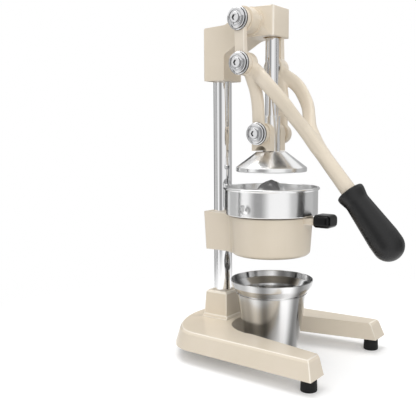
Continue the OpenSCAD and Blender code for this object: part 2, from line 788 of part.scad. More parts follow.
// Domed bolt head with a raised, recessed middle, drawn outwards from its seat
module domed_head() {
    r = bolt_head_d / 2;
    h = bolt_head_h;
    hub_r = r * 0.38;
    difference() {
        rotate_extrude() polygon(rounded([[0, 0, 0], [r, 0, 0.4], [r, h * 0.28, 0.9], [r * 0.9, h * 0.34, 0.3],
            [r * 0.885, h * 0.77, 2.4], [hub_r + 0.4, h * 0.77, 0.3], [hub_r, h, 0.7], [0, h, 0]], 4));
        translate([0, 0, h * 0.55]) cylinder(r = hub_r * 0.55, h = h, $fn = 6);
    }
}

// Low bolt head with a slot, drawn outwards from its seat
module flat_head() {
    r = flat_head_d / 2;
    difference() {
        rotate_extrude() polygon(rounded([[0, 0, 0], [r, 0, 0.3], [r, flat_head_h, 1], [0, flat_head_h, 0]], 4));
        translate([-r, -1, flat_head_h * 0.45]) cube([2 * r, 2, flat_head_h]);
    }
}

// Pivot bolt from x0 inside to its seat: the left ones have domed heads, the right ones flat heads
module pivot_bolt(side, pivot, x0, seat) {
    on_side(side) {
        across_rod(pivot, pivot_d, x0, seat + eps);
        translate([seat, pivot[0], pivot[1]]) rotate([0, 90, 0]) {
            if (side < 0) domed_head();
            else flat_head();
        }
    }
}

module upper_bolt(side) {
    color(chrome) placed() pivot_bolt(side, pivot_a, bush_d / 2 + 4, link_out + side_gap);
}

module link(side) {
    // Where the bar starts inside an eye, beyond the bush
    inner = pivot_d / 2 + link_bush_t + 2;
    color(enamel) placed() on_side(side) translate([link_in + link_t / 2, 0, 0]) across_plate(link_t)
        difference() {
            union() {
                for (p = [pivot_a, pivot_b]) translate(p) circle(d = link_eye_d);
                translate(pivot_a) rotate(-link_lean)
                    translate([-link_w / 2, inner - link_len]) square([link_w, link_len - 2 * inner]);
            }
            for (p = [pivot_a, pivot_b]) translate(p) circle(d = pivot_d + 2 * link_bush_t + 2 * fit_gap);
        }
}

module link_bushes(side) {
    color(bronze) placed() on_side(side) for (p = [pivot_a, pivot_b]) difference() {
        across_rod(p, pivot_d + 2 * link_bush_t, link_in, link_out);
        across_rod(p, pivot_d + 2 * pivot_gap, link_in - 1, link_out + 1);
    }
}

module middle_bolt(side) {
    color(chrome) placed() pivot_bolt(side, pivot_b, fork_in - side_gap - middle_nut_t + 0.5, link_out);
}

module middle_nut(side) {
    seat = fork_in - side_gap;
    color(chrome) placed() on_side(side) difference() {
        translate([seat - middle_nut_t, pivot_b[0], pivot_b[1]]) rotate([0, 90, 0]) rotate_extrude()
            polygon(rounded([[0, 0, 0], [middle_nut_d / 2 - 2, 0, 1.5], [middle_nut_d / 2, middle_nut_t, 0.4],
                [0, middle_nut_t, 0]], 4));
        across_rod(pivot_b, pivot_d + 2 * fit_gap, seat - middle_nut_t + 0.4, seat + 1);
    }
}

module lever() {
    b = pivot_b;
    s = bar_start;
    boss_x = (fork_in + fork_out) / 2;
    eye_x = (leg_eye_in + leg_eye_out) / 2;
    half_bar = bar_d / 2;
    // Stations of an arm: across, back, up, half width, half height
    arm = [
        [boss_x, b[0], b[1], 5.2, 10],
        [boss_x + 0.2, b[0] - 11, b[1] - 7.6, 5, 9.4],
        [boss_x + 0.9, b[0] - 16.4, b[1] - 11.4, 4.5, 9],
        [boss_x + 4.2, b[0] - 23.6, b[1] - 16.6, 4.9, 8.8],
        [boss_x + 5.4, s[0] + 51.8, s[1] + 78, 4.9, 8.6],
        [boss_x + 3.4, s[0] + 44.6, s[1] + 70, 4.9, 8.5],
        [boss_x - 4, s[0] + 32.6, s[1] + 54, 4.8, 8.4],
        [boss_x - 14.2, s[0] + 24.6, s[1] + 38.6, 5.2, 8.2],
        [boss_x - 23.2, s[0] + 18.4, s[1] + 27, 6.4, 8.1],
        [4.6, s[0] + 11.4, s[1] + 16.4, 7.6, 8.2],
        [1.2, s[0] + 3, s[1] + 4, half_bar - 0.5, half_bar],
        [0.3, s[0] - 6, s[1] - 6.5, half_bar - 0.8, half_bar - 0.3]];
    // Stations of a leg, from the middle pivot down to the lower one
    leg = [
        [boss_x, b[0] - 2, b[1], 5, 8.4],
        [boss_x - 0.8, b[0] - 8.2, b[1] - 18, 4.8, 8],
        [boss_x - 1.8, b[0] - 11.8, b[1] - 29.4, 4.7, 8],
        [boss_x - 3, b[0] - 13.8, b[1] - 42, 4.6, 8],
        [eye_x + 1.4, pivot_c[0] + 0.6, pivot_c[1] + 26, 4.5, 8],
        [eye_x + 0.4, pivot_c[0] + 0.8, pivot_c[1] + 13, 4.3, 8],
        [eye_x, pivot_c[0], pivot_c[1], leg_eye_t / 2 - 0.3, 7.4]];
    color(enamel) placed() difference() {
        union() {
            for (side = [-1, 1]) on_side(side) {
                swept_bar(arm, 3);
                swept_bar(leg, 3);
                across_rod(b, fork_boss_d, fork_in, fork_out);
                across_rod(pivot_c, leg_eye_d, leg_eye_in, leg_eye_out);
            }
            along_bar() {
                cylinder(d1 = bar_d, d2 = bar_end_d, h = bar_len);
                cylinder(d = tang_d, h = bar_len + tang_len);
            }
        }
        for (side = [-1, 1]) on_side(side) {
            across_rod(b, pivot_d + 2 * pivot_gap, fork_in - 1, fork_out + 1);
            across_rod(pivot_c, pivot_d + 2 * pivot_gap, leg_eye_in - 1, leg_eye_out + 1);
        }
    }
}

// Turns a piece so that its axis runs down the lever bar, from the point where the arms meet it
module along_bar() {
    translate([0, bar_start[0], bar_start[1]]) rotate([90 + bar_slope, 0, 0]) children();
}

module grip() {
    ball_r = grip_d / 2;
    swell_z = grip_len - 1.55 * ball_r;
    color(black_rubber) placed() along_bar() translate([0, 0, bar_len]) difference() {
        rotate_extrude() polygon(rounded([[0, 0, 0], [grip_collar_d / 2, 0, 2.2],
            [grip_collar_d / 2, 5, 2], [grip_waist_d / 2, grip_waist_z, 12],
            [ball_r, swell_z, 30], [ball_r, grip_len, ball_r - eps],
            [0, grip_len, 0]], 8));
        translate([0, 0, -1]) cylinder(d = tang_d + 2 * fit_gap, h = tang_len + 1.5);
    }
}

module press_rod() {
    edge = 1;
    nut_low = cone_shoulder_z - cone_wall - 9;
    color(chrome) placed() rotate_extrude() polygon([[0, nut_low], [stud_d / 2, nut_low],
        [stud_d / 2, rod_foot], [rod_d / 2, rod_foot], [rod_d / 2, rod_top - edge],
        [rod_d / 2 - edge, rod_top], [0, rod_top]]);
}

module press_cone() {
    rim_r = cone_d / 2;
    shoulder_r = cone_shoulder_d / 2;
    band_z = cone_bottom + cone_band;
    hub_r = hub_d / 2;
    stud_r = stud_d / 2 + fit_gap;
    color(steel) placed() rotate_extrude() polygon(concat(
        [[stud_r, cone_shoulder_z - cone_wall], [shoulder_r - cone_wall, cone_shoulder_z - cone_wall],
            [rim_r - cone_wall - 1.5, band_z - cone_wall], [rim_r - cone_wall, cone_bottom]],
        [[rim_r - 0.8, cone_bottom], [rim_r, cone_bottom + 0.8], [rim_r, band_z - 0.8],
            [rim_r - 0.8, band_z]],
        [[shoulder_r, cone_shoulder_z], [hub_r, cone_shoulder_z], [hub_r, hub_top - 0.6],
            [hub_r - 0.6, hub_top], [rod_d / 2 + fit_gap, hub_top], [rod_d / 2 + fit_gap, rod_foot],
            [stud_r, rod_foot]]));
}

module cone_nut() {
    seat = cone_shoulder_z - cone_wall;
    color(chrome) placed() difference() {
        union() {
            translate([0, 0, seat - 1.5]) cylinder(d = stud_d * 2.1, h = 1.5);
            translate([0, 0, seat - 8]) cylinder(d = stud_d * 1.8, h = 6.5 + eps, $fn = 6);
            translate([0, 0, seat - 11]) cylinder(d1 = stud_d * 0.9, d2 = stud_d * 1.5, h = 3 + eps);
        }
        translate([0, 0, seat - 9.5]) cylinder(d = stud_d + 2 * fit_gap, h = 12);
    }
}

function yoke_rear() = yoke_len - yoke_front;
function yoke_screw_z() = pivot_c[1] + yoke_rise - 7;

module yoke() {
    top = pivot_c[1] + yoke_rise;
    low = pivot_c[1] - yoke_drop;
    mid = (yoke_rear() - yoke_front) / 2;
    arch_w = yoke_len * 0.3;
    arch_h = 6;
    color(enamel) placed() difference() {
        union() {
            across_plate(yoke_w) polygon(concat(
                rounded([[yoke_rear(), low, 0], [yoke_rear(), top, 5], [-yoke_front, top, 9],
                    [-yoke_front, low, 0]], 6),
                [for (k = [0 : 10]) let (a = 180 - 18 * k) [mid + arch_w * cos(a), low + arch_h * sin(a)]]));
            for (side = [-1, 1]) on_side(side)
                across_rod(pivot_c, yoke_boss_d, yoke_w / 2 - 2, yoke_w / 2 + yoke_boss_t);
        }
        translate([0, 0, low - 1]) cylinder(d = hub_d + 2 * fit_gap, h = top - low + 2);
        translate([-yoke_slot / 2, -yoke_len, low - 1]) cube([yoke_slot, yoke_len, top - low + 2]);
        for (side = [-1, 1]) on_side(side)
            across_rod(pivot_c, pivot_d + 2 * fit_gap, 0, yoke_w);
        translate([0, 0, yoke_screw_z()]) rotate([-90, 0, 0])
            cylinder(d = set_screw_d + 2 * fit_gap, h = yoke_rear() + 1, $fn = 32);
    }
}

module yoke_set_screw() {
    start = hub_d / 2 + fit_gap;
    len = yoke_rear() - start;
    color(zinc) placed() translate([0, start, yoke_screw_z()]) rotate([-90, 0, 0]) difference() {
        cylinder(d = set_screw_d, h = len - 0.4, $fn = 32);
        translate([0, 0, len - 3]) cylinder(d = set_screw_d / 2, h = 4, $fn = 6);
    }
}

module lower_bolt(side) {
    color(chrome) placed() pivot_bolt(side, pivot_c, yoke_slot / 2 + 4, leg_eye_out + side_gap);
}

module juice_cup() {
    t = cup_wall;
    foot_r = cup_foot_d / 2;
    step_r = cup_step_d / 2;
    bead_r = step_r + cup_bead;
    flare_r = cup_flare_d / 2;
    rim_r = cup_rim_d / 2;
    edge = t;
    floor_t = 2;
    // Outer outline from the foot over the bead and the flare up to the edge of the lip
    outer = rounded([[0, 0, 0], [foot_r, 0, 3], [step_r, cup_step_z - cup_bead, 0.4], [bead_r, cup_step_z, 0.5],
        [step_r + cup_bead / 2, cup_step_z + cup_bead, 0.5], [flare_r, cup_flare_z, 4],
        [rim_r, cup_h - edge / 2, 0], [rim_r - edge / 2, cup_h, 0]], 4);
    // Inner outline back down to the floor
    inner = rounded([[rim_r - edge, cup_h - edge / 2, 0], [flare_r - t, cup_flare_z + t / 2, 4],
        [step_r - t / 2, cup_step_z + cup_bead, 0.4], [step_r - t, cup_step_z - 2 * cup_bead, 0.4],
        [foot_r - t + 0.4, floor_t + 1, 1.2], [0, floor_t, 0]], 4);
    color(steel) placed() translate([0, -cup_forward, 0]) rotate_extrude() polygon(concat(outer, inner));
}

base();
foot(-1, true);  // foot_front_left
foot(1, true);  // foot_front_right
foot(-1, false);  // foot_rear_left
foot(1, false);  // foot_rear_right
foot_screws();
column();
column_bolt();
head();
guide_bush();
head_set_screws();
bowl_holder();
holder_set_screws();
bumper_cap();
juice_funnel();
strainer_bowl();
reamer_cone();
upper_bolt(-1);  // upper_bolt_left
upper_bolt(1);  // upper_bolt_right
link(-1);  // link_left
link(1);  // link_right
link_bushes(-1);  // link_bushes_left
link_bushes(1);  // link_bushes_right
middle_bolt(-1);  // middle_bolt_left
middle_bolt(1);  // middle_bolt_right
middle_nut(-1);  // middle_nut_left
middle_nut(1);  // middle_nut_right
lever();
grip();
press_rod();
press_cone();
cone_nut();
yoke();
yoke_set_screw();
lower_bolt(-1);  // lower_bolt_left
lower_bolt(1);  // lower_bolt_right
juice_cup();
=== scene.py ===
# %% [markdown]
# # A lever citrus press, from its CAD frame to a studio picture
#
# The press is a table-top tool: a cast base, one chromed column, a cast head and a wishbone lever that
# drives a press cone down over a reamer. The CAD frame gives every size, joint and seat. This lesson
# dresses it: castings get soft edges, turned pieces are spun as on a lathe, and each surface gets the
# finish that the real one has.

# %% Load the frame
import json
import math
import bpy
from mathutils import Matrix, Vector

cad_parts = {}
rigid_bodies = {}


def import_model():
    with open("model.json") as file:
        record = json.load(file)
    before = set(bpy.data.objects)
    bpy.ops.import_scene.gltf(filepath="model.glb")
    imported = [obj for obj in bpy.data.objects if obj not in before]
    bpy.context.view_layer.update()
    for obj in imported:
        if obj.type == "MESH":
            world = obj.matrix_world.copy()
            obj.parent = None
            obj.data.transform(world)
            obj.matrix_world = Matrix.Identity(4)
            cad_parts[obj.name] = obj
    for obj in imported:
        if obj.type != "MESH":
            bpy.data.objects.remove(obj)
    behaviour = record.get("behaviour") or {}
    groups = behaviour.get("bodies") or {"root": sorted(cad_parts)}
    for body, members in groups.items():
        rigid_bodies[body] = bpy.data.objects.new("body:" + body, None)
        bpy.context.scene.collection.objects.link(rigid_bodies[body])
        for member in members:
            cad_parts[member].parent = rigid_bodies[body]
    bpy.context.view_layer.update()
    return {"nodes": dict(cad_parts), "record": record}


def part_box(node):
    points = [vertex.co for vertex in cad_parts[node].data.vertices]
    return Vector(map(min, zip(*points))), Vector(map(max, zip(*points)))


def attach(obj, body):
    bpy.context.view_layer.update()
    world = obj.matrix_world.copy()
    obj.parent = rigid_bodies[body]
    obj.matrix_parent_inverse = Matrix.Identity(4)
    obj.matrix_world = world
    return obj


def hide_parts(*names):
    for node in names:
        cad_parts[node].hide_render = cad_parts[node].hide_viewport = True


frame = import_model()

MM = 0.001
nodes = frame["nodes"]
body_of = {n: b for b, members in frame["record"]["behaviour"]["bodies"].items() for n in members}
slot_of = {s["node"]: s["material_slot"] for s in frame["record"]["subparts"]}


# %% [markdown]
# ## Where things are
#
# Places are read from the frame's own boxes, so nothing has to be fitted by eye. The press axis is the
# middle of the rod, the column stands behind it, and the cup stands by itself under the spout. Round
# pieces either stand upright or lie sideways, along x, and one small function reads each kind.

# %% Places read from the frame
def middle(node):
    low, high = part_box(node)
    return (low + high) / 2


def upright(node):
    """Bottom, top and radius of a round piece that stands upright, in mm."""
    low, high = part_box(node)
    return low.z / MM, high.z / MM, (high.x - low.x) / 2 / MM


def sideways(node):
    """Left and right end of a round piece along x, in metres, then its length and radius in mm."""
    low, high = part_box(node)
    return low.x, high.x, (high.x - low.x) / MM, (high.y - low.y) / 2 / MM


UP = Vector((0, 0, 1))
AXIS = Vector((0, middle("press_rod").y, 0))
COLUMN = Vector((0, middle("column").y, 0))
CUP = Vector((0, middle("juice_cup").y, 0))
print("press axis at y = %.1f mm, column at y = %.1f mm" % (AXIS.y / MM, COLUMN.y / MM))


# %% [markdown]
# ## Colours and nodes
#
# Colours are written as a designer writes them, as sRGB hex values. The shader wants linear light, so one
# function converts them by the sRGB curve. A second small function adds a shader node with its settings
# and its links, and a third starts a finish with the values that are the same all over it.

# %% Colour and node helpers
def linear(hex_code):
    parts = [int(hex_code[i:i + 2], 16) / 255 for i in (1, 3, 5)]
    return [c / 12.92 if c <= 0.04045 else ((c + 0.055) / 1.055) ** 2.4 for c in parts] + [1.0]


def add(tree, kind, settings=None, links=None):
    node = tree.nodes.new(kind)
    for key, value in (settings or {}).items():
        if isinstance(key, int) or key in node.inputs:
            node.inputs[key].default_value = value
        else:
            setattr(node, key, value)
    for key, source in (links or {}).items():
        tree.links.new(source, node.inputs[key])
    return node


def new_finish(name, **sockets):
    material = bpy.data.materials.new(name)
    material.use_nodes = True
    shader = material.node_tree.nodes["Principled BSDF"]
    for key, value in sockets.items():
        shader.inputs[key.replace("_", " ")].default_value = value
    return material, material.node_tree, shader


print("middle grey in linear light:", [round(c, 3) for c in linear("#808080")[:3]])


# %% [markdown]
# ## Stoved enamel on cast iron
#
# The castings are sprayed with a cream enamel and baked. That gives a semi-gloss skin with a fine
# pebbling, a little unevenness in tone, and the soft waviness of the sand casting under it. Painted maps
# could show this, but noise at three sizes needs no unwrapping and has no seams. The bevelled edges get a
# lighter finish of their own, which is a painted highlight, and the links a lighter copy, which is painted
# light.

# %% Cream enamel
# Most values of a noise lie between these two, so they are spread over the range that a finish needs
NOISE = {"From Min": 0.25, "From Max": 0.75}
# In mm. Real pebbling is about 1 mm across: it is drawn coarser so that it shows
PATCH, PEBBLE, WAVE = 40, 2.2, 14
PEBBLE_DEPTH, WAVE_DEPTH = 0.10, 0.6
ENAMEL_RELIEF = 0.10


def stoved_enamel(name, light, deep):
    material, tree, shader = new_finish(name, Coat_Weight=0.25, Coat_Roughness=0.15)
    place = add(tree, "ShaderNodeTexCoord").outputs["Object"]
    # The tone drifts from patch to patch
    patches = add(tree, "ShaderNodeTexNoise", {"Scale": 1 / (PATCH * MM), "Detail": 3.0}, {"Vector": place})
    drift = add(tree, "ShaderNodeMapRange", NOISE, {"Value": patches.outputs["Fac"]})
    tone = add(tree, "ShaderNodeMix", {"data_type": "RGBA", 6: linear(light), 7: linear(deep)},
               {0: drift.outputs["Result"]})
    tree.links.new(tone.outputs[2], shader.inputs["Base Color"])
    # The pebbling breaks the gloss
    pebbles = add(tree, "ShaderNodeTexNoise", {"Scale": 1 / (PEBBLE * MM), "Detail": 2.0}, {"Vector": place})
    gloss = add(tree, "ShaderNodeMapRange", {**NOISE, "To Min": 0.32, "To Max": 0.42},
                {"Value": pebbles.outputs["Fac"]})
    tree.links.new(gloss.outputs["Result"], shader.inputs["Roughness"])
    # The casting under the enamel rolls gently
    waves = add(tree, "ShaderNodeTexNoise", {"Scale": 1 / (WAVE * MM), "Detail": 1.0}, {"Vector": place})
    rolled = add(tree, "ShaderNodeBump", {"Strength": ENAMEL_RELIEF, "Distance": WAVE_DEPTH * MM},
                 {"Height": waves.outputs["Fac"]})
    skin = add(tree, "ShaderNodeBump", {"Strength": ENAMEL_RELIEF, "Distance": PEBBLE_DEPTH * MM},
               {"Height": pebbles.outputs["Fac"], "Normal": rolled.outputs["Normal"]})
    tree.links.new(skin.outputs["Normal"], shader.inputs["Normal"])
    return material


enamel = stoved_enamel("cream_stoved_enamel", "#E3D7C5", "#DED2BE")
# Painted light: a lighter copy of the enamel for the links, which stand in front of the shaded block
painted_light_link_enamel = stoved_enamel("cream_enamel_painted_lighter_on_links", "#EADFCF", "#E5D9C7")
# Painted highlight: a lighter enamel for the rounded edges and the head's corner facets, where light catches
painted_highlight_enamel = stoved_enamel("cream_enamel_painted_highlight_on_edges", "#F1E9DC", "#ECE3D4")
print("finishes:", enamel.name, painted_light_link_enamel.name, painted_highlight_enamel.name)


# %% [markdown]
# ## Chrome, polished stainless and brushed stainless
#
# The column and rod are hard-chromed and buffed to a mirror. The bowl, cone and cup are spun from stainless
# sheet: the tool leaves fine rings round the axis, and these stretch every reflection upright. Anisotropy
# does that in the shader, turned by a quarter because the rings run round the axis. A stretched noise draws
# the rings themselves, coarser than real so that they show. Bolts are cast and chromed, so they are lumpy.

# %% Metals
MARK_DEPTH = 0.02


def metal(name, colour, rough, grain_mm, grain_strength, brushed=0.0):
    material, tree, shader = new_finish(name, Metallic=1.0, Base_Color=linear(colour),
                                        Anisotropic=brushed, Anisotropic_Rotation=0.25)
    place = add(tree, "ShaderNodeTexCoord").outputs["Object"]
    # Grain sizes along x, y and z: large means stretched
    grain = add(tree, "ShaderNodeMapping", {"Scale": [1 / (g * MM) for g in grain_mm]}, {"Vector": place})
    lines = add(tree, "ShaderNodeTexNoise", {"Scale": 1.0, "Detail": 2.0},
                {"Vector": grain.outputs["Vector"]})
    gloss = add(tree, "ShaderNodeMapRange", {**NOISE, "To Min": rough[0], "To Max": rough[1]},
                {"Value": lines.outputs["Fac"]})
    tree.links.new(gloss.outputs["Result"], shader.inputs["Roughness"])
    marks = add(tree, "ShaderNodeBump", {"Strength": grain_strength, "Distance": MARK_DEPTH * MM},
                {"Height": lines.outputs["Fac"]})
    tree.links.new(marks.outputs["Normal"], shader.inputs["Normal"])
    return material


# Each line: colour, roughness from and to, grain in mm along x, y and z, strength of its marks, brushing.
# A bright mirror with hardly a mark on it
chrome = metal("hard_chrome_plate", "#EDEDEE", (0.03, 0.06), (110, 110, 6), 0.04)
# A mirror over a lumpy casting: the highlights break up
bolt_chrome = metal("bright_cast_chrome", "#DCDCDD", (0.08, 0.14), (1.6, 1.6, 1.6), 0.7)
# Painted shade: a dark chrome for the bolts' faces that stand side-on, in grooves and on flange sides
painted_shade_chrome = metal("chrome_with_painted_shade_in_recesses", "#4A4A4B", (0.30, 0.40), (1, 1, 1), 0.3)
# Soft upright streaks from the spinning tool
polished_steel = metal("spun_stainless_steel", "#F2F2F2", (0.20, 0.26), (110, 110, 1.6), 0.08, 0.5)
# Finer rings and longer streaks. The painted reflection bands in the next cell take the place of its plain
# colour
cup_steel = metal("brushed_stainless_steel_with_painted_reflections", "#D2D1CF", (0.14, 0.20), (110, 110, 0.8), 0.2, 0.8)
# A bluish, slightly cloudy plate on the screws
zinc = metal("bright_zinc_plate", "#B4B7BB", (0.25, 0.38), (1, 1, 1), 0.3)
# A dull, grainy brown-gold
bronze = metal("sintered_bronze", "#B08D57", (0.35, 0.5), (1, 1, 1), 0.3)
print("metals:", ", ".join(m.name for m in (chrome, bolt_chrome, painted_shade_chrome, polished_steel, cup_steel,
                                            zinc, bronze)))


# %% [markdown]
# ## Painted reflection bands on the cup
#
# Lighter and darker flanks are painted round the cup's wall in its colour: painted reflections. Waves of
# the angle round the cup's axis draw them: each has a whole number of bands, so there is no seam.

# %% Cup bands
PAINTED_REFLECTION_MEAN = 0.55
PAINTED_REFLECTION_BANDS = ((4, -1.61, 0.19), (7, -1.53, 0.27), (14, 0.28, 0.10))  # bands round the wall, start angle, depth
tree, shader = cup_steel.node_tree, cup_steel.node_tree.nodes["Principled BSDF"]
place = add(tree, "ShaderNodeTexCoord").outputs["Object"]
centred = add(tree, "ShaderNodeMapping", {"Location": -CUP}, {"Vector": place})
sides = add(tree, "ShaderNodeSeparateXYZ", None, {"Vector": centred.outputs["Vector"]}).outputs
turn = add(tree, "ShaderNodeMath", {"operation": "ARCTAN2"}, {0: sides["Y"], 1: sides["X"]})
so_far = {}
for count, phase, depth in PAINTED_REFLECTION_BANDS:
    angle = add(tree, "ShaderNodeMath", {"operation": "MULTIPLY_ADD", 1: count, 2: phase},
                {0: turn.outputs[0]})
    wave = add(tree, "ShaderNodeMath", {"operation": "SINE"}, {0: angle.outputs[0]})
    bands = add(tree, "ShaderNodeMath", {"operation": "MULTIPLY_ADD", 1: depth, 2: PAINTED_REFLECTION_MEAN},
                {0: wave.outputs[0], **so_far})
    so_far = {2: bands.outputs[0]}
# Painted reflections: dark and light flanks in the cup's base colour
painted_reflections = add(tree, "ShaderNodeMix", {"data_type": "RGBA", 6: linear("#3C3B3A"), 7: linear("#F8F8F8")},
             {0: bands.outputs[0]})
tree.links.new(painted_reflections.outputs[2], shader.inputs["Base Color"])
print("cup bands round the wall:", [count for count, _, _ in PAINTED_REFLECTION_BANDS])


# %% [markdown]
# ## Black grip and rubber
#
# The grip is a dip-moulded satin sleeve, the bumper a glossier rubber cap, and the feet are plain
# moulded rubber. All are nearly black: their form is read from the sheen alone. So the colour is plain,
# and a fine noise works on the roughness and the bump.

# %% Blacks
GRAIN_RELIEF = 0.25


def black(name, colour, shine, rough, grain_mm, grain_depth):
    material, tree, shader = new_finish(name, Base_Color=linear(colour), Specular_IOR_Level=shine)
    place = add(tree, "ShaderNodeTexCoord").outputs["Object"]
    grain = add(tree, "ShaderNodeTexNoise", {"Scale": 1 / (grain_mm * MM), "Detail": 3.0}, {"Vector": place})
    gloss = add(tree, "ShaderNodeMapRange", {**NOISE, "To Min": rough[0], "To Max": rough[1]},
                {"Value": grain.outputs["Fac"]})
    tree.links.new(gloss.outputs["Result"], shader.inputs["Roughness"])
    dimples = add(tree, "ShaderNodeBump", {"Strength": GRAIN_RELIEF, "Distance": grain_depth * MM},
                  {"Height": grain.outputs["Fac"]})
    tree.links.new(dimples.outputs["Normal"], shader.inputs["Normal"])
    return material


# Each line: colour, shine, roughness from and to, grain and its depth in mm.
# A broad soft sheen
grip_black = black("satin_black_vinyl", "#121213", 0.45, (0.34, 0.44), 1.6, 0.08)
# Small bright highlights that wobble a little
bumper_rubber = black("glossy_black_rubber", "#050505", 0.24, (0.08, 0.18), 3.0, 0.12)
# Hardly any sheen
foot_rubber = black("moulded_black_rubber", "#0E0E0F", 0.3, (0.5, 0.65), 1.2, 0.1)
finish_of = {"enamel": enamel, "chrome": chrome, "bolt_chrome": bolt_chrome, "polished_steel": polished_steel,
             "cup_steel": cup_steel, "zinc": zinc, "bronze": bronze, "grip_black": grip_black,
             "bumper_rubber": bumper_rubber, "foot_rubber": foot_rubber}
print("every slot of the record has one of", len(finish_of), "finishes")


# %% [markdown]
# ## Seating a new piece
#
# A new piece takes the place of a CAD node: it rides on that node's body, hides the node and takes its
# finish. Everything is deselected before a new piece is started, because operators act on the selection.

# %% Seating helpers
def start_clean():
    if bpy.context.mode != "OBJECT":
        bpy.ops.object.mode_set(mode="OBJECT")
    bpy.ops.object.select_all(action="DESELECT")


def take_up(piece):
    start_clean()
    bpy.context.view_layer.objects.active = piece
    piece.select_set(True)


def seat(piece, node):
    piece.name = node + "_dressed"
    piece.data.name = piece.name
    piece.data.materials.clear()
    piece.data.materials.append(finish_of[slot_of[node]])
    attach(piece, body_of[node])
    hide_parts(node)
    print("%s: %d faces" % (piece.name, len(piece.data.polygons)))


# %% [markdown]
# ## A lathe and a cutter
#
# Turned pieces are drawn as half an outline and spun. The first function rounds the outline's corners, as
# a turner breaks each edge. The second extrudes one vertex along the outline, spins it round the axis,
# merges the seam and the poles, and turns the normals out. A third takes one solid out of another, for
# sockets and slots.

# %% Lathe
SEAM = 0.002 * MM
CREASE = math.radians(35)


def softened(outline, steps=5):
    """Rounds the corners of an outline of (along, radius, corner radius) points."""
    points = [Vector((p[0], p[1])) for p in outline]
    out = []
    for i, corner in enumerate(outline):
        r = corner[2] if len(corner) > 2 else 0
        if r <= 0 or i in (0, len(outline) - 1):
            out.append((corner[0], corner[1]))
            continue
        p = points[i]
        u = (points[i - 1] - p).normalized()
        v = (points[i + 1] - p).normalized()
        half = u.angle(v) / 2
        centre = p + (u + v).normalized() * (r / math.sin(half))
        a = p + u * (r / math.tan(half)) - centre
        b = p + v * (r / math.tan(half)) - centre
        a0 = math.atan2(a.y, a.x)
        turn = math.atan2(a.x * b.y - a.y * b.x, a.dot(b))
        for k in range(steps + 1):
            t = a0 + turn * k / steps
            out.append((centre.x + r * math.cos(t), centre.y + r * math.sin(t)))
    return out


def turned(foot, axis, outline, steps):
    """Spins an outline of (along, radius) points in mm round an axis, as on a lathe."""
    axis = Vector(axis).normalized()
    out = axis.orthogonal().normalized()
    path = [foot + (axis * a + out * r) * MM for a, r in outline]
    start_clean()
    bpy.ops.mesh.primitive_plane_add(size=MM, location=path[0])
    bpy.ops.object.mode_set(mode="EDIT")
    bpy.ops.mesh.select_all(action="SELECT")
    bpy.ops.mesh.merge(type="CENTER")
    for a, b in zip(path, path[1:]):
        bpy.ops.mesh.extrude_region_move(TRANSFORM_OT_translate={"value": b - a})
    bpy.ops.mesh.select_all(action="SELECT")
    bpy.ops.mesh.spin(steps=steps, angle=2 * math.pi, center=foot, axis=axis)
    bpy.ops.mesh.select_all(action="SELECT")
    bpy.ops.mesh.remove_doubles(threshold=SEAM)
    bpy.ops.mesh.normals_make_consistent(inside=False)
    bpy.ops.object.mode_set(mode="OBJECT")
    bpy.ops.object.transform_apply(location=True, rotation=True, scale=True)
    bpy.ops.object.shade_smooth_by_angle(angle=CREASE)
    return bpy.context.object


def cut(piece, cutter):
    """Takes one solid out of another."""
    take_up(piece)
    tool = piece.modifiers.new("cut", "BOOLEAN")
    tool.object = cutter
    tool.solver = "EXACT"
    bpy.ops.object.modifier_apply(modifier=tool.name)
    bpy.data.objects.remove(cutter)
    bpy.ops.object.shade_smooth_by_angle(angle=CREASE)
    return piece


print("lathe ready: edges over %d degrees stay crisp" % round(math.degrees(CREASE)))

# %% [markdown]
# ## Column and press rod
#
# Both are ground bar: a spun outline with a small lead at each end. The rod ends in a thinner stud that
# takes the cone's nut. A finer mesh than the frame's keeps the reflected bands straight.

# %% Column and rod
LEAD, BAR_STEPS = 0.8, 128
SHANK_R, STUD_LENGTH = 5, 16.6
foot, top, r = upright("column")
bar = softened([(foot, 0), (foot, r, LEAD), (top, r, LEAD), (top, 0)], steps=4)
seat(turned(COLUMN, UP, bar, BAR_STEPS), "column")
foot, top, r = upright("press_rod")
shoulder = foot + STUD_LENGTH
rod = softened([(foot, 0), (foot, SHANK_R, 0.5), (shoulder, SHANK_R), (shoulder, r, 0.4),
                (top, r, LEAD), (top, 0)], steps=4)
seat(turned(AXIS, UP, rod, BAR_STEPS), "press_rod")

# %% [markdown]
# ## Press cone and hub
#
# One turned part: a slim hub that takes the rod, a shoulder, a cone and a rounded rim band. Underneath it
# is hollow, so that it closes over what is pressed. The outline runs from the hollow round the rim and up
# the hub to the bore, so that one spin makes both sides of the wall.

# %% Press cone
HUB_LENGTH, HUB_R, ROD_BORE, STUD_BORE, CONE_FLOOR = 43, 10.2, 8.1, 5.1, 2.6
foot, top, rim = upright("press_cone")
shoulder = top - HUB_LENGTH
hollow, rod_seat = shoulder - CONE_FLOOR, shoulder + 5
cone = softened([
    (hollow, STUD_BORE), (hollow, 15.4, 1), (foot + 2.4, rim - 4.1, 1), (foot, rim - 2.8, 0.6),  # underneath
    (foot, rim, 1.2), (foot + 5, rim, 1.3), (shoulder, 18, 1.2),  # rim band and cone
    (shoulder, HUB_R, 0.8), (top, HUB_R, 0.7),  # hub
    (top, ROD_BORE), (rod_seat, ROD_BORE), (rod_seat, STUD_BORE), (hollow, STUD_BORE)], steps=5)  # bore
seat(turned(AXIS, UP, cone, steps=176), "press_cone")

# %% [markdown]
# ## Strainer bowl
#
# A spun bowl with a rolled rim and a well that drops into the holder. One closed outline draws the outside
# and the inside of the sheet. The wall gets rows of points, which the dimples in the next step need.

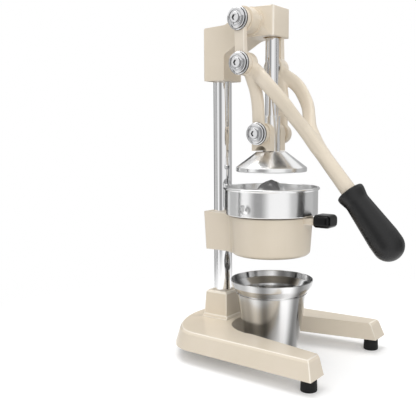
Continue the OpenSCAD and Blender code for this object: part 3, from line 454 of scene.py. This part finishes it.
# %% Strainer bowl
WALL_R, WELL_R, SHEET = 57.3, 46.0, 1.5
ROWS, ROW_STEP = 12, 1.4
foot, top, _ = upright("strainer_bowl")
ledge = foot + 5
shelf, floor_top, roll = ledge + SHEET, foot + SHEET, top - 3.2
rows = [(ledge + 4 + ROW_STEP * k, WALL_R) for k in range(1, ROWS + 1)]
bowl = turned(AXIS, UP, softened(
    [(foot, 0), (foot, WELL_R, 0.8), (ledge, WELL_R, 0.6), (ledge, WALL_R - 10.2, 0.2),  # well and ledge
     (shelf, WALL_R - 9.9, 0.3), (shelf, WALL_R, 1.2)] + rows +
    [(roll, WALL_R, 0.5), (roll, WALL_R + 2, 1.55), (top, WALL_R + 2, 1.55),  # rolled rim
     (top, WALL_R - SHEET, 0.7), (shelf, WALL_R - SHEET, 2.5), (shelf, WELL_R - SHEET, 0.6),  # inside
     (floor_top, WELL_R - SHEET, 0.5), (floor_top, 0)], steps=6), steps=240)
print("bowl: %d faces, %.1f mm high" % (len(bowl.data.polygons), top - foot))

# %% [markdown]
# ## Dimples in the bowl
#
# A round dimple on each side, pressed out of the wall, keeps the bowl from turning in the holder. The
# points in the middle of a dimple are moved outwards, and proportional editing takes their neighbours
# along, as the sheet gives way round a punch.

# %% Dimples
DIMPLE_UP, DIMPLE_OUT, DIMPLE_R, PICK_R = 10.8, 2.1, 6.5, 1.1
bpy.context.tool_settings.mesh_select_mode = (True, False, False)
for side in (-1, 1):
    spot = AXIS + Vector((side * WALL_R, 0, ledge + DIMPLE_UP)) * MM
    take_up(bowl)
    bpy.ops.object.mode_set(mode="EDIT")
    bpy.ops.mesh.select_all(action="DESELECT")
    bpy.ops.object.mode_set(mode="OBJECT")
    for v in bowl.data.vertices:
        v.select = (v.co - spot).length < PICK_R * MM
    bpy.ops.object.mode_set(mode="EDIT")
    bpy.ops.transform.translate(value=(side * DIMPLE_OUT * MM, 0, 0), use_proportional_edit=True,
                                use_proportional_connected=True, proportional_edit_falloff="SMOOTH",
                                proportional_size=DIMPLE_R * MM)
    bpy.ops.object.mode_set(mode="OBJECT")
print("bowl's widest x with the dimples: %.2f mm" % max(v.co.x / MM for v in bowl.data.vertices))

# %% [markdown]
# ## Drain slots
#
# A ring of slots in the floor of the well lets the bowl drain. On the real bowl a tool punches them. Here
# one blade for each slot is set in a ring, the blades are joined, and one cut takes them all out.

# %% Drain slots
SLOTS, SLOT_R, SLOT_SIZE = 20, 37, (10.9, 3, 4)
start_clean()
for i in range(SLOTS):
    turn = 2 * math.pi * (i + 0.5) / SLOTS
    spot = AXIS + Vector((SLOT_R * math.cos(turn), SLOT_R * math.sin(turn), foot + SHEET / 2)) * MM
    bpy.ops.mesh.primitive_cube_add(size=1, location=spot, rotation=(0, 0, turn),
                                    scale=[length * MM for length in SLOT_SIZE])
    bpy.context.object.name = "slot_blade.%02d" % i
for thing in bpy.data.objects:
    thing.select_set(thing.name.startswith("slot_blade"))
bpy.ops.object.join()
bpy.ops.object.transform_apply(location=True, rotation=True, scale=True)
seat(cut(bowl, bpy.context.object), "strainer_bowl")

# %% [markdown]
# ## Cup
#
# A spun cup: a rounded foot, a body that widens upwards, a small bead, a flare and an upright lip with a
# rolled edge. The outline goes up the outside and down the inside, so the wall has its real thickness.

# %% Cup
EDGE = 0.7
_, top, lip = upright("juice_cup")
cup = softened([
    (0, 0), (0, 32, 3), (78, 43.5, 0.4), (79, 44.5, 0.5), (80, 44, 0.5),  # foot, wall and bead
    (87.4, 49.8, 4), (top - EDGE, lip, 0.6), (top, lip - EDGE, 0.6),  # flare and lip
    (top - EDGE, lip - 1.4, 0.4), (88.1, 48.4, 4), (80, 42.8, 0.4), (77, 42.1, 0.4),  # inside
    (3, 31, 1.2), (2, 0)], steps=6)
seat(turned(CUP, UP, cup, steps=176), "juice_cup")

# %% [markdown]
# ## Grip
#
# The grip is a turned sleeve on the slanted bar: a flared collar, a waist and a swelling that ends in a
# ball. It is spun round the lever bar's own axis, 50 degrees below the horizontal, so it needs no turning
# afterwards.

# %% Grip
BAR_SLOPE = math.radians(50)
LEVER_PIVOT_UP, BAR_DROP, BAR_FRONT, SLEEVE_START = 355.425, 100.4, 66, 59.5
SLEEVE_LENGTH, SWELL_TO_END, SWELL_R, BALL_R = 93.2, 28.2, 18.15, 18.05
along = Vector((0, -math.cos(BAR_SLOPE), -math.sin(BAR_SLOPE)))
bar_start = AXIS + Vector((0, -BAR_FRONT, LEVER_PIVOT_UP - BAR_DROP)) * MM
collar = bar_start + along * SLEEVE_START * MM
grip = softened([
    (0, 0), (0, 16.5, 2.2), (5, 16.5, 2.4), (15, 14.1, 13),  # collar and waist
    (SLEEVE_LENGTH - SWELL_TO_END, SWELL_R, 32), (SLEEVE_LENGTH, SWELL_R, BALL_R),  # swelling and ball
    (SLEEVE_LENGTH, 0)], steps=14)
seat(turned(collar, along, grip, steps=112), "grip")


# %% [markdown]
# ## Left bolts
#
# These show: a flange, a small step, a face with a turned groove and a raised hub with a hexagon socket.
# Each is spun along the press's x axis, from the hidden end of its shank out to its face, and the socket
# is cut out afterwards. The faces that look away from x get a dark chrome, which is painted shade on the
# sides of the flange, the step, the groove and the socket.

# %% Left bolts
LEFT_HEAD = 8.6
HUB, SOCKET_R, SOCKET_DEPTH = 0.42, 0.62, 0.42  # shares of the bolt's radius, the hub and the head
# Faces with less than this share of their normal along x get the painted shade
SIDE_ON = 0.4
for node in ("upper_bolt_left", "middle_bolt_left", "lower_bolt_left"):
    left, _, length, r = sideways(node)
    face = Vector((left, middle(node).y, middle(node).z))
    h, hub = LEFT_HEAD, HUB * r
    bolt = turned(face, (1, 0, 0), softened([
        (length, 0), (length, SHANK_R, 0.5), (h, SHANK_R), (h, r, 0.4), (0.72 * h, r, 0.9),  # shank, flange
        (0.66 * h, 0.9 * r, 0.3), (0.32 * h, 0.885 * r, 1.2),  # step
        (0.22 * h, 0.68 * r, 0.2), (0.36 * h, 0.62 * r, 0.2), (0.22 * h, 0.56 * r, 0.2),  # groove
        (0.16 * h, hub + 0.4, 0.3), (0, hub, 0.6), (0, 0)], steps=5), steps=96)  # hub
    start_clean()
    bpy.ops.mesh.primitive_cylinder_add(vertices=6, radius=SOCKET_R * hub * MM, depth=SOCKET_DEPTH * h * MM,
                                        location=face, rotation=(0, math.pi / 2, 0))
    seat(cut(bolt, bpy.context.object), node)
    # The second slot holds the painted shade for the side-on faces
    bolt.data.materials.append(painted_shade_chrome)
    for side in bolt.data.polygons:
        side.material_index = int(abs(side.normal.x) < SIDE_ON)

# %% [markdown]
# ## Right bolts and the nuts inside the fork
#
# The right bolts have a low slotted head, and a round domed nut holds each middle bolt from inside the
# fork. They are spun in the same way, outwards from the right face or inwards from the fork.

# %% Right bolts and nuts
RIGHT_HEAD, DRIVER_DEPTH, DRIVER_WIDTH, NUT_BORE = 2.4, 2.6, 2, 5.05
for node in ("upper_bolt_right", "middle_bolt_right", "lower_bolt_right"):
    _, right, length, r = sideways(node)
    face = Vector((right, middle(node).y, middle(node).z))
    bolt = turned(face, (-1, 0, 0), softened([
        (length, 0), (length, SHANK_R, 0.5), (RIGHT_HEAD, SHANK_R), (RIGHT_HEAD, r, 0.3), (0, r, 1),
        (0, 0.55 * r, 0), (0.2, 0.5 * r, 0), (0, 0.45 * r, 0), (0, 0)], steps=4), steps=72)
    start_clean()
    bpy.ops.mesh.primitive_cube_add(size=1, location=face,
                                    scale=(DRIVER_DEPTH * MM, 2.2 * r * MM, DRIVER_WIDTH * MM))
    seat(cut(bolt, bpy.context.object), node)
for node, inward in (("middle_nut_left", 1), ("middle_nut_right", -1)):
    left, right, thick, r = sideways(node)
    back = Vector((left if inward > 0 else right, middle(node).y, middle(node).z))
    nut = softened([(thick - 0.4, 0), (thick - 0.4, NUT_BORE, 0), (0, NUT_BORE, 0), (0, r, 0.4),
                    (thick, r - 2, 1.5), (thick, 0)], steps=5)
    seat(turned(back, (inward, 0, 0), nut, steps=72), node)

# %% [markdown]
# ## Feet
#
# Four moulded rubber feet from one mould, slightly tapered, with a recess for the screw's head. So the
# first is spun at its place and the others are copies of it, each with a mesh of its own. The copies are
# made before anything is seated, because a copy would take the seat's marks along.

# %% Feet
SCREW_HOLE, SCREW_RECESS = 2.3, 5
FEET = ("foot_front_left", "foot_front_right", "foot_rear_left", "foot_rear_right")


def stands_at(node):
    return Vector((middle(node).x, middle(node).y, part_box(node)[0].z))


def copied(piece, shift):
    """A copy with its own mesh, moved by a shift that is applied to the mesh."""
    take_up(piece)
    bpy.ops.object.duplicate()
    bpy.ops.transform.translate(value=shift)
    bpy.ops.object.transform_apply(location=True, rotation=True, scale=True)
    return bpy.context.object


bottom, top, r = upright(FEET[0])
h = top - bottom
foot = turned(stands_at(FEET[0]), UP, softened([
    (h / 2, SCREW_HOLE), (h / 2, SCREW_RECESS, 0.3), (0, SCREW_RECESS, 0.4), (0, r, 1), (0.3 * h, r, 1),
    (h, r - 0.6, 0.8), (h, SCREW_HOLE), (h / 2, SCREW_HOLE)], steps=5), steps=72)
feet = [foot] + [copied(foot, stands_at(node) - stands_at(FEET[0])) for node in FEET[1:]]
for piece, node in zip(feet, FEET):
    seat(piece, node)


# %% [markdown]
# ## A welded copy of a CAD node
#
# The castings have shapes that no lathe makes, and the frame already has them. A CAD mesh is loose
# triangles, so a copy of it is welded and its flat faces are joined, which leaves only real edges. The
# frame's own node isn't touched.

# %% Welded copies
WELD = 0.005 * MM


def welded(node, flat, crease=40):
    """A copy of a CAD node with joined faces. Both angles are in degrees."""
    start_clean()
    piece = nodes[node].copy()
    piece.data = nodes[node].data.copy()
    piece.parent = None
    bpy.context.scene.collection.objects.link(piece)
    # The frame's marks on the node come along with the copy and are taken off it
    for key in list(piece.keys()):
        del piece[key]
    take_up(piece)
    bpy.ops.object.mode_set(mode="EDIT")
    bpy.ops.mesh.select_all(action="SELECT")
    bpy.ops.mesh.remove_doubles(threshold=WELD)
    bpy.ops.mesh.dissolve_limited(angle_limit=math.radians(flat))
    bpy.ops.object.mode_set(mode="OBJECT")
    bpy.ops.object.shade_smooth_by_angle(angle=math.radians(crease))
    return piece


print("copies are welded at %.3f mm" % (WELD / MM))


# %% [markdown]
# ## The brace of the head
#
# Under the beam a brace runs down to the block that holds the column. On the real head it is a shallow
# slope with a wide corner above and a tight one below. The frame's brace is deeper, so the points along
# its two side edges are moved onto a new outline, in order from the beam to the block.

# %% Brace
BLOCK_FRONT, BEAM_DEPTH, BRACE_SIDE = 15.5, 34.3, 18.7  # from the column's axis, the top and the middle
BRACE_LENGTH, BRACE_DROP, WIDE_CORNER, TIGHT_CORNER = 31.5, 17.2, 14, 6
SEARCH_ALONG, SEARCH_DOWN, NEAR, PAST_ENDS = 50, 36, 0.1, 60


def set_brace(piece):
    """Moves the points along the brace's side edges onto the shallow outline."""
    front = COLUMN.y / MM - BLOCK_FRONT
    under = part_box("head")[1].z / MM - BEAM_DEPTH
    slope = softened([(front - PAST_ENDS, under), (front - BRACE_LENGTH, under, WIDE_CORNER),
                      (front, under - BRACE_DROP, TIGHT_CORNER), (front, under - PAST_ENDS)], steps=6)
    for side in (-1, 1):
        rim = [v for v in piece.data.vertices if abs(v.co.x / MM - side * BRACE_SIDE) < NEAR
               and front - SEARCH_ALONG < v.co.y / MM < front + NEAR
               and under - SEARCH_DOWN < v.co.z / MM < under + NEAR]
        rim.sort(key=lambda v: v.co.y - v.co.z)
        print("brace points:", len(rim), "for", len(slope) - 2)
        for v, (y, z) in zip(rim, slope[1:-1]):
            v.co.y, v.co.z = y * MM, z * MM


print("brace: %.1f mm long, %.1f mm deep" % (BRACE_LENGTH, BRACE_DROP))


# %% [markdown]
# ## Which edges to round
#
# A bevel over every edge breaks where edges are short or faces are slivers, and clamping it for their sake
# leaves almost no rounding anywhere. So the edges of the large castings are chosen: outer edges that turn
# enough, are long enough and have room on both sides get a bevel weight. After the bevel, the rounded
# strips are parted from the flat faces beside them, because shading that runs across both would make flat
# walls look bent.

# %% Choosing edges
EDGE_TURN = math.radians(28)
ROOM_FOR_RADIUS, SLIVER = 2.5, 0.004


def faces_by_edge(mesh):
    beside = {}
    for face in mesh.polygons:
        for key in face.edge_keys:
            beside.setdefault(key, []).append(face)
    return beside


def mark_edges(piece, radius, shortest):
    """Gives a bevel weight to each outer edge that has room for the rounding on both sides."""
    mesh = piece.data
    weights = mesh.attributes.new("bevel_weight_edge", "FLOAT", "EDGE").data
    beside = faces_by_edge(mesh)
    count = 0
    for edge in mesh.edges:
        pair = beside.get(edge.key, [])
        if len(pair) != 2 or pair[0].normal.angle(pair[1].normal, 0) < EDGE_TURN:
            continue
        start, end = (mesh.vertices[i].co for i in edge.vertices)
        if (end - start).length < shortest:
            continue
        line = (end - start).normalized()
        arms = [[mesh.vertices[i].co - start for i in face.vertices] for face in pair]
        room = min(max((arm - line * arm.dot(line)).length for arm in side) for side in arms)
        outer = (pair[1].center - start).dot(pair[0].normal) < 0
        reach = [max(arm.length for arm in side) for side in arms]
        sliver = min(face.area / r ** 2 for face, r in zip(pair, reach)) < SLIVER
        if outer and room > ROOM_FOR_RADIUS * radius and not sliver:
            weights[edge.index].value = 1.0
            count += 1
    print("edges to round:", count, "of", len(mesh.edges))


def part_edges(piece):
    """Keeps the shading of the rounded edges apart from the flat faces beside them."""
    beside = faces_by_edge(piece.data)
    for edge in piece.data.edges:
        pair = beside.get(edge.key, [])
        if len(pair) == 2 and pair[0].material_index != pair[1].material_index:
            edge.use_edge_sharp = True


print("edges that turn by %d degrees or more may be rounded" % round(math.degrees(EDGE_TURN)))


# %% [markdown]
# ## Castings
#
# A casting has no sharp edges: the pattern is rounded and the enamel rounds it further. Base, head and
# holder are bevelled by weight, along the edges chosen above. The yoke and the links are simple enough for
# a bevel by angle. The rounded strips and the head's corner facets take a lighter enamel, a painted
# highlight, and the links a lighter copy of the enamel, which is painted light.

# %% Castings
EDGE_SEGMENTS, PAINTED_HIGHLIGHT_SLOT = 4, 1  # faces across a rounded edge, and the place of the painted highlight in the slots
FLAT, WALL_CREASE, ROUND_CREASE = 0.3, 18, 40  # degrees
# Upright corner facets that face along both x and y get the painted highlight
CORNER_ASIDE, CORNER_UPRIGHT = 0.45, 0.2
CASTINGS = (("base", 1.0, 2), ("head", 1.1, 8), ("bowl_holder", 0.9, 2),  # node, radius, shortest edge
            ("yoke", 1.0, None), ("link_left", 1.4, None), ("link_right", 1.4, None))


def round_edges(piece, radius, chosen):
    edge = piece.modifiers.new("edge", "BEVEL")
    edge.width = radius * MM
    edge.segments = EDGE_SEGMENTS
    edge.limit_method = "WEIGHT" if chosen else "ANGLE"
    edge.angle_limit = EDGE_TURN
    edge.use_clamp_overlap = not chosen
    edge.harden_normals = not chosen
    # The rounded strips take the painted highlight
    edge.material = PAINTED_HIGHLIGHT_SLOT
    bpy.ops.object.modifier_apply(modifier=edge.name)


def painted_highlight_corners(piece):
    for face in piece.data.polygons:
        x, y, z = (abs(c) for c in face.normal)
        if x > CORNER_ASIDE and y > CORNER_ASIDE and z < CORNER_UPRIGHT:
            face.material_index = PAINTED_HIGHLIGHT_SLOT


for node, radius, shortest in CASTINGS:
    piece = welded(node, FLAT, WALL_CREASE if shortest else ROUND_CREASE)
    if node == "head":
        set_brace(piece)
    if shortest:
        mark_edges(piece, radius * MM, shortest * MM)
    seat(piece, node)
    # The links take the lighter enamel, which is painted light
    if node.startswith("link"):
        piece.data.materials[0] = painted_light_link_enamel
    piece.data.materials.append(painted_highlight_enamel)
    round_edges(piece, radius, bool(shortest))
    if shortest:
        part_edges(piece)
    if node == "head":
        painted_highlight_corners(piece)
    print("%s with soft edges: %d faces" % (piece.name, len(piece.data.polygons)))


# %% [markdown]
# ## Wishbone lever and bumper
#
# Arms, legs, bosses and bar are one casting with generous fillets where they meet. The copy is remeshed
# to an even skin and relaxed, which runs the pieces into each other as the foundry's pattern does.
# Relaxing pulls the skin in a little, so it is pushed out again by as much. The rubber bumper is made the
# same way.

# %% Lever and bumper
RELAX = 0.5


def relaxed(node, voxel_mm, rounds, push_mm):
    piece = welded(node, flat=0.2)
    skin = piece.modifiers.new("skin", "REMESH")
    skin.mode = "VOXEL"
    skin.voxel_size = voxel_mm * MM
    bpy.ops.object.modifier_apply(modifier=skin.name)
    relax = piece.modifiers.new("relax", "SMOOTH")
    relax.factor = RELAX
    relax.iterations = rounds
    bpy.ops.object.modifier_apply(modifier=relax.name)
    push = piece.modifiers.new("push", "DISPLACE")
    push.strength = push_mm * MM
    push.mid_level = 0.0
    bpy.ops.object.modifier_apply(modifier=push.name)
    bpy.ops.object.shade_smooth()
    seat(piece, node)


relaxed("lever", voxel_mm=0.85, rounds=4, push_mm=0.07)
relaxed("bumper_cap", voxel_mm=0.6, rounds=10, push_mm=0.1)

# %% [markdown]
# ## Reamer
#
# The reamer's ribs are cast smooth. The frame's mesh has the right form in few faces, so its triangles are
# joined to quads and one subdivision rounds the ribs.

# %% Reamer
RIB_CREASE = math.radians(50)
reamer = welded("reamer_cone", flat=0.1)
bpy.ops.object.mode_set(mode="EDIT")
bpy.ops.mesh.select_all(action="SELECT")
bpy.ops.mesh.tris_convert_to_quads()
bpy.ops.mesh.normals_make_consistent(inside=False)
bpy.ops.object.mode_set(mode="OBJECT")
round_off = reamer.modifiers.new("round_off", "SUBSURF")
round_off.levels = round_off.render_levels = 1
bpy.ops.object.modifier_apply(modifier=round_off.name)
bpy.ops.object.shade_smooth_by_angle(angle=RIB_CREASE)
seat(reamer, "reamer_cone")

# %% [markdown]
# ## Small turned and pressed pieces
#
# The funnel, the bushes and the hidden screws keep the frame's form. Their copies are welded and shaded
# smooth, so that round faces read as round.

# %% Small pieces
for node in ("juice_funnel", "cone_nut", "guide_bush", "link_bushes_left", "link_bushes_right", "foot_screws",
             "column_bolt", "head_set_screws", "holder_set_screws", "yoke_set_screw"):
    seat(welded(node, flat=0.2), node)

# %% [markdown]
# ## Floor
#
# The press stands on white paper that fades into a white background. The floor is a little darker to the
# rays that light the press than to those that show it, straight or in the metal, and a weak glow lifts it
# to white there. More light would do that too, but it would bleach the enamel. The paper keeps the soft
# shadow, and turns clear further out.

# %% Floor
FLOOR_SIZE, FADE_START, FADE_END = 6.0, 0.22, 0.5
FLOOR_GLOW = 0.18


def seen_rays(tree):
    """1 for rays that show a surface, straight, mirrored or through glass, and 0 for those that light."""
    rays = add(tree, "ShaderNodeLightPath").outputs
    seen = rays["Is Camera Ray"]
    for kind in ("Is Glossy Ray", "Is Transmission Ray"):
        seen = add(tree, "ShaderNodeMath", {"operation": "MAXIMUM"}, {0: seen, 1: rays[kind]}).outputs[0]
    return seen


start_clean()
bpy.ops.mesh.primitive_plane_add(size=FLOOR_SIZE, location=(0, 0, 0))
floor = bpy.context.object
floor.name = "studio_floor"
paper, tree, shader = new_finish("white_studio_paper", Roughness=0.9)
place = add(tree, "ShaderNodeTexCoord").outputs["Object"]
reach = add(tree, "ShaderNodeVectorMath", {"operation": "LENGTH"}, {0: place})
fade = add(tree, "ShaderNodeMapRange", {"From Min": FADE_START, "From Max": FADE_END},
           {"Value": reach.outputs["Value"]})
seen = seen_rays(tree)
shade = add(tree, "ShaderNodeMix", {"data_type": "RGBA", 6: linear("#C6C6C6"), 7: linear("#F2F2F2")},
            {0: seen})
tree.links.new(shade.outputs[2], shader.inputs["Base Color"])
lift = add(tree, "ShaderNodeMath", {"operation": "MULTIPLY", 1: FLOOR_GLOW}, {0: seen})
glow = add(tree, "ShaderNodeEmission", None, {"Strength": lift.outputs[0]})
lit = add(tree, "ShaderNodeAddShader", None, {0: shader.outputs["BSDF"], 1: glow.outputs["Emission"]})
clear = add(tree, "ShaderNodeBsdfTransparent")
mixed = add(tree, "ShaderNodeMixShader", None,
            {0: fade.outputs["Result"], 1: lit.outputs["Shader"], 2: clear.outputs["BSDF"]})
tree.links.new(mixed.outputs["Shader"], tree.nodes["Material Output"].inputs["Surface"])
floor.data.materials.append(paper)
print("floor fades from %.2f to %.2f m" % (FADE_START, FADE_END))

# %% [markdown]
# ## World
#
# The background is white to the camera and in the chrome, and weaker as a light, so that the lamps still
# model the castings.

# %% World
SKY_LIGHT = 0.68
world = bpy.data.worlds.new("white_studio")
bpy.context.scene.world = world
world.use_nodes = True
tree = world.node_tree
back = tree.nodes["Background"]
level = add(tree, "ShaderNodeMapRange", {"To Min": SKY_LIGHT, "To Max": 1.0}, {"Value": seen_rays(tree)})
back.inputs["Color"].default_value = (1, 1, 1, 1)
tree.links.new(level.outputs["Result"], back.inputs["Strength"])
print("world: white where it is seen, %.2f as a light" % SKY_LIGHT)


# %% [markdown]
# ## Lamps
#
# One large soft box overhead, a little behind the press, lights the tops, and the metal mirrors it. A weak
# one at the left and one at the front left fill the sides. These two are hidden from mirror rays, because
# their outlines would show as hard white patches in the chrome.

# %% Lamps
def facing(place, aim):
    return (Vector(aim) - Vector(place)).to_track_quat("-Z", "Y").to_euler()


def lamp(name, place, aim, size, power, mirrored):
    light = bpy.data.lights.new(name, "AREA")
    light.shape = "RECTANGLE"
    light.size, light.size_y = size, size
    light.energy = power
    thing = bpy.data.objects.new(name, light)
    thing.location = place
    thing.rotation_euler = facing(place, aim)
    thing.visible_glossy = mirrored
    bpy.context.scene.collection.objects.link(thing)
    print("%s: %.1f W" % (name, power))


# Place and aim in metres, side, power in watts, and whether metal mirrors it
lamp("overhead_soft_box", (0.1, 0.5, 1.7), (0, 0, 0.1), 1.2, 15.5, True)
lamp("left_soft_box", (-1.6, 0.0, 1.3), (0, 0, 0.2), 0.9, 2.5, False)
lamp("front_soft_box", (-1.05, -1.2, 0.75), (0, 0, 0.2), 0.9, 8, False)


# %% [markdown]
# ## Cards
#
# Chrome has no colour of its own and shows only what stands round it, so a photographer sets grey and
# black cards just outside the picture. They stand in a ring round the press, and each one is given by the
# angles between which it stands, counted from the camera's side. Some fade to white at both ends, which
# gives soft flanks in the chrome. They reach below the floor, which is clear there, so that the column's
# foot has something to mirror. Only mirror rays see them.

# %% One card
HALF = 0.5  # of a plane that is 1 across


def card(name, place, aim, size, colour, soft=0.0):
    start_clean()
    bpy.ops.mesh.primitive_plane_add(size=1, location=place)
    thing = bpy.context.object
    thing.name = name
    thing.scale = (size[0], size[1], 1)
    thing.rotation_euler = facing(place, aim)
    felt, tree, shader = new_finish(name + "_felt", Base_Color=(0, 0, 0, 1), Roughness=1.0,
                                    Specular_IOR_Level=0.0, Emission_Color=linear(colour),
                                    Emission_Strength=1.0)
    if soft:
        across = add(tree, "ShaderNodeSeparateXYZ", None,
                     {"Vector": add(tree, "ShaderNodeTexCoord").outputs["Object"]}).outputs["X"]
        across = add(tree, "ShaderNodeMath", {"operation": "ABSOLUTE"}, {0: across})
        end = add(tree, "ShaderNodeMapRange", {"From Min": HALF - soft, "From Max": HALF},
                  {"Value": across.outputs[0]})
        tone = add(tree, "ShaderNodeMix", {"data_type": "RGBA", 6: linear(colour), 7: (1, 1, 1, 1)},
                   {0: end.outputs["Result"]})
        tree.links.new(tone.outputs[2], shader.inputs["Emission Color"])
    thing.data.materials.append(felt)
    thing.visible_camera = False
    thing.visible_diffuse = False
    thing.visible_shadow = False
    thing.visible_transmission = False
    print("%s: %.2f m wide" % (name, size[0]))


print("a card is seen by mirror rays alone")

# %% Ring of cards and one overhead
CAMERA_SIDE, CARD_AWAY = 213.9, 0.62
CARD_FOOT, CARD_TOP = -0.14, 0.56
# Name, first and last angle in degrees, colour, and the share at each end that fades to white
RING = (("card_rear_left", -178, -130, "#3A3A3A", 0.0), ("card_left_pale", -122, -90, "#C0C0C0", 0.0),
        ("card_left", -86, -79, "#222222", 0.0), ("card_left_grey", -60, -6, "#9C9C9C", 0.35),
        ("card_right_pale", 36, 70, "#CACACA", 0.3), ("card_right", 72, 83, "#2A2A2A", 0.0),
        ("card_right_grey", 84, 116, "#C2C2C2", 0.0), ("card_rear_right", 116, 178, "#B0B0B0", 0.0))
eye = (CARD_FOOT + CARD_TOP) / 2
for name, start, end, colour, soft in RING:
    mid = math.radians(CAMERA_SIDE + (start + end) / 2)
    width = 2 * CARD_AWAY * math.tan(math.radians(end - start) / 2)
    spot = AXIS + Vector((CARD_AWAY * math.cos(mid), CARD_AWAY * math.sin(mid), eye))
    card(name, spot, AXIS + Vector((0, 0, eye)), (width, CARD_TOP - CARD_FOOT), colour, soft)
card("card_overhead", (0.42, AXIS.y + 0.12, 1.45), (0, AXIS.y, 0.25), (0.85, 0.75), "#2A2A2A")

# %% [markdown]
# ## Camera
#
# The camera stands where the photograph was taken: to the left of the press's front, a little above the
# bowl, looking slightly down. Its focal length was worked out in pixels of the picture, and its shift puts
# the press where the photograph has it in the frame.

# %% Camera
PICTURE_W, PICTURE_H, SENSOR = 416, 409, 36
FOCAL_PIXELS, SIGHT_X, SIGHT_Y = 652.5, 241.14, 226.10
LOOK_DOWN, LOOK_ROUND = 8.05, 55.85
camera = bpy.data.objects.new("camera", bpy.data.cameras.new("camera"))
bpy.context.scene.collection.objects.link(camera)
# In metres: to the press's left, before its axis, and above the table
camera.location = (-0.6823, AXIS.y - 0.4181, 0.27465)
camera.rotation_euler = (math.radians(90 - LOOK_DOWN), 0, math.radians(-LOOK_ROUND))
camera.data.sensor_fit = "HORIZONTAL"
camera.data.sensor_width = SENSOR
camera.data.lens = FOCAL_PIXELS * SENSOR / PICTURE_W
camera.data.shift_x = (PICTURE_W / 2 - SIGHT_X) / PICTURE_W
camera.data.shift_y = (SIGHT_Y - PICTURE_H / 2) / PICTURE_W
camera.data.clip_start = 0.05
bpy.context.scene.camera = camera
bpy.context.scene.view_settings.view_transform = "Standard"
print("camera lens %.1f mm" % camera.data.lens)
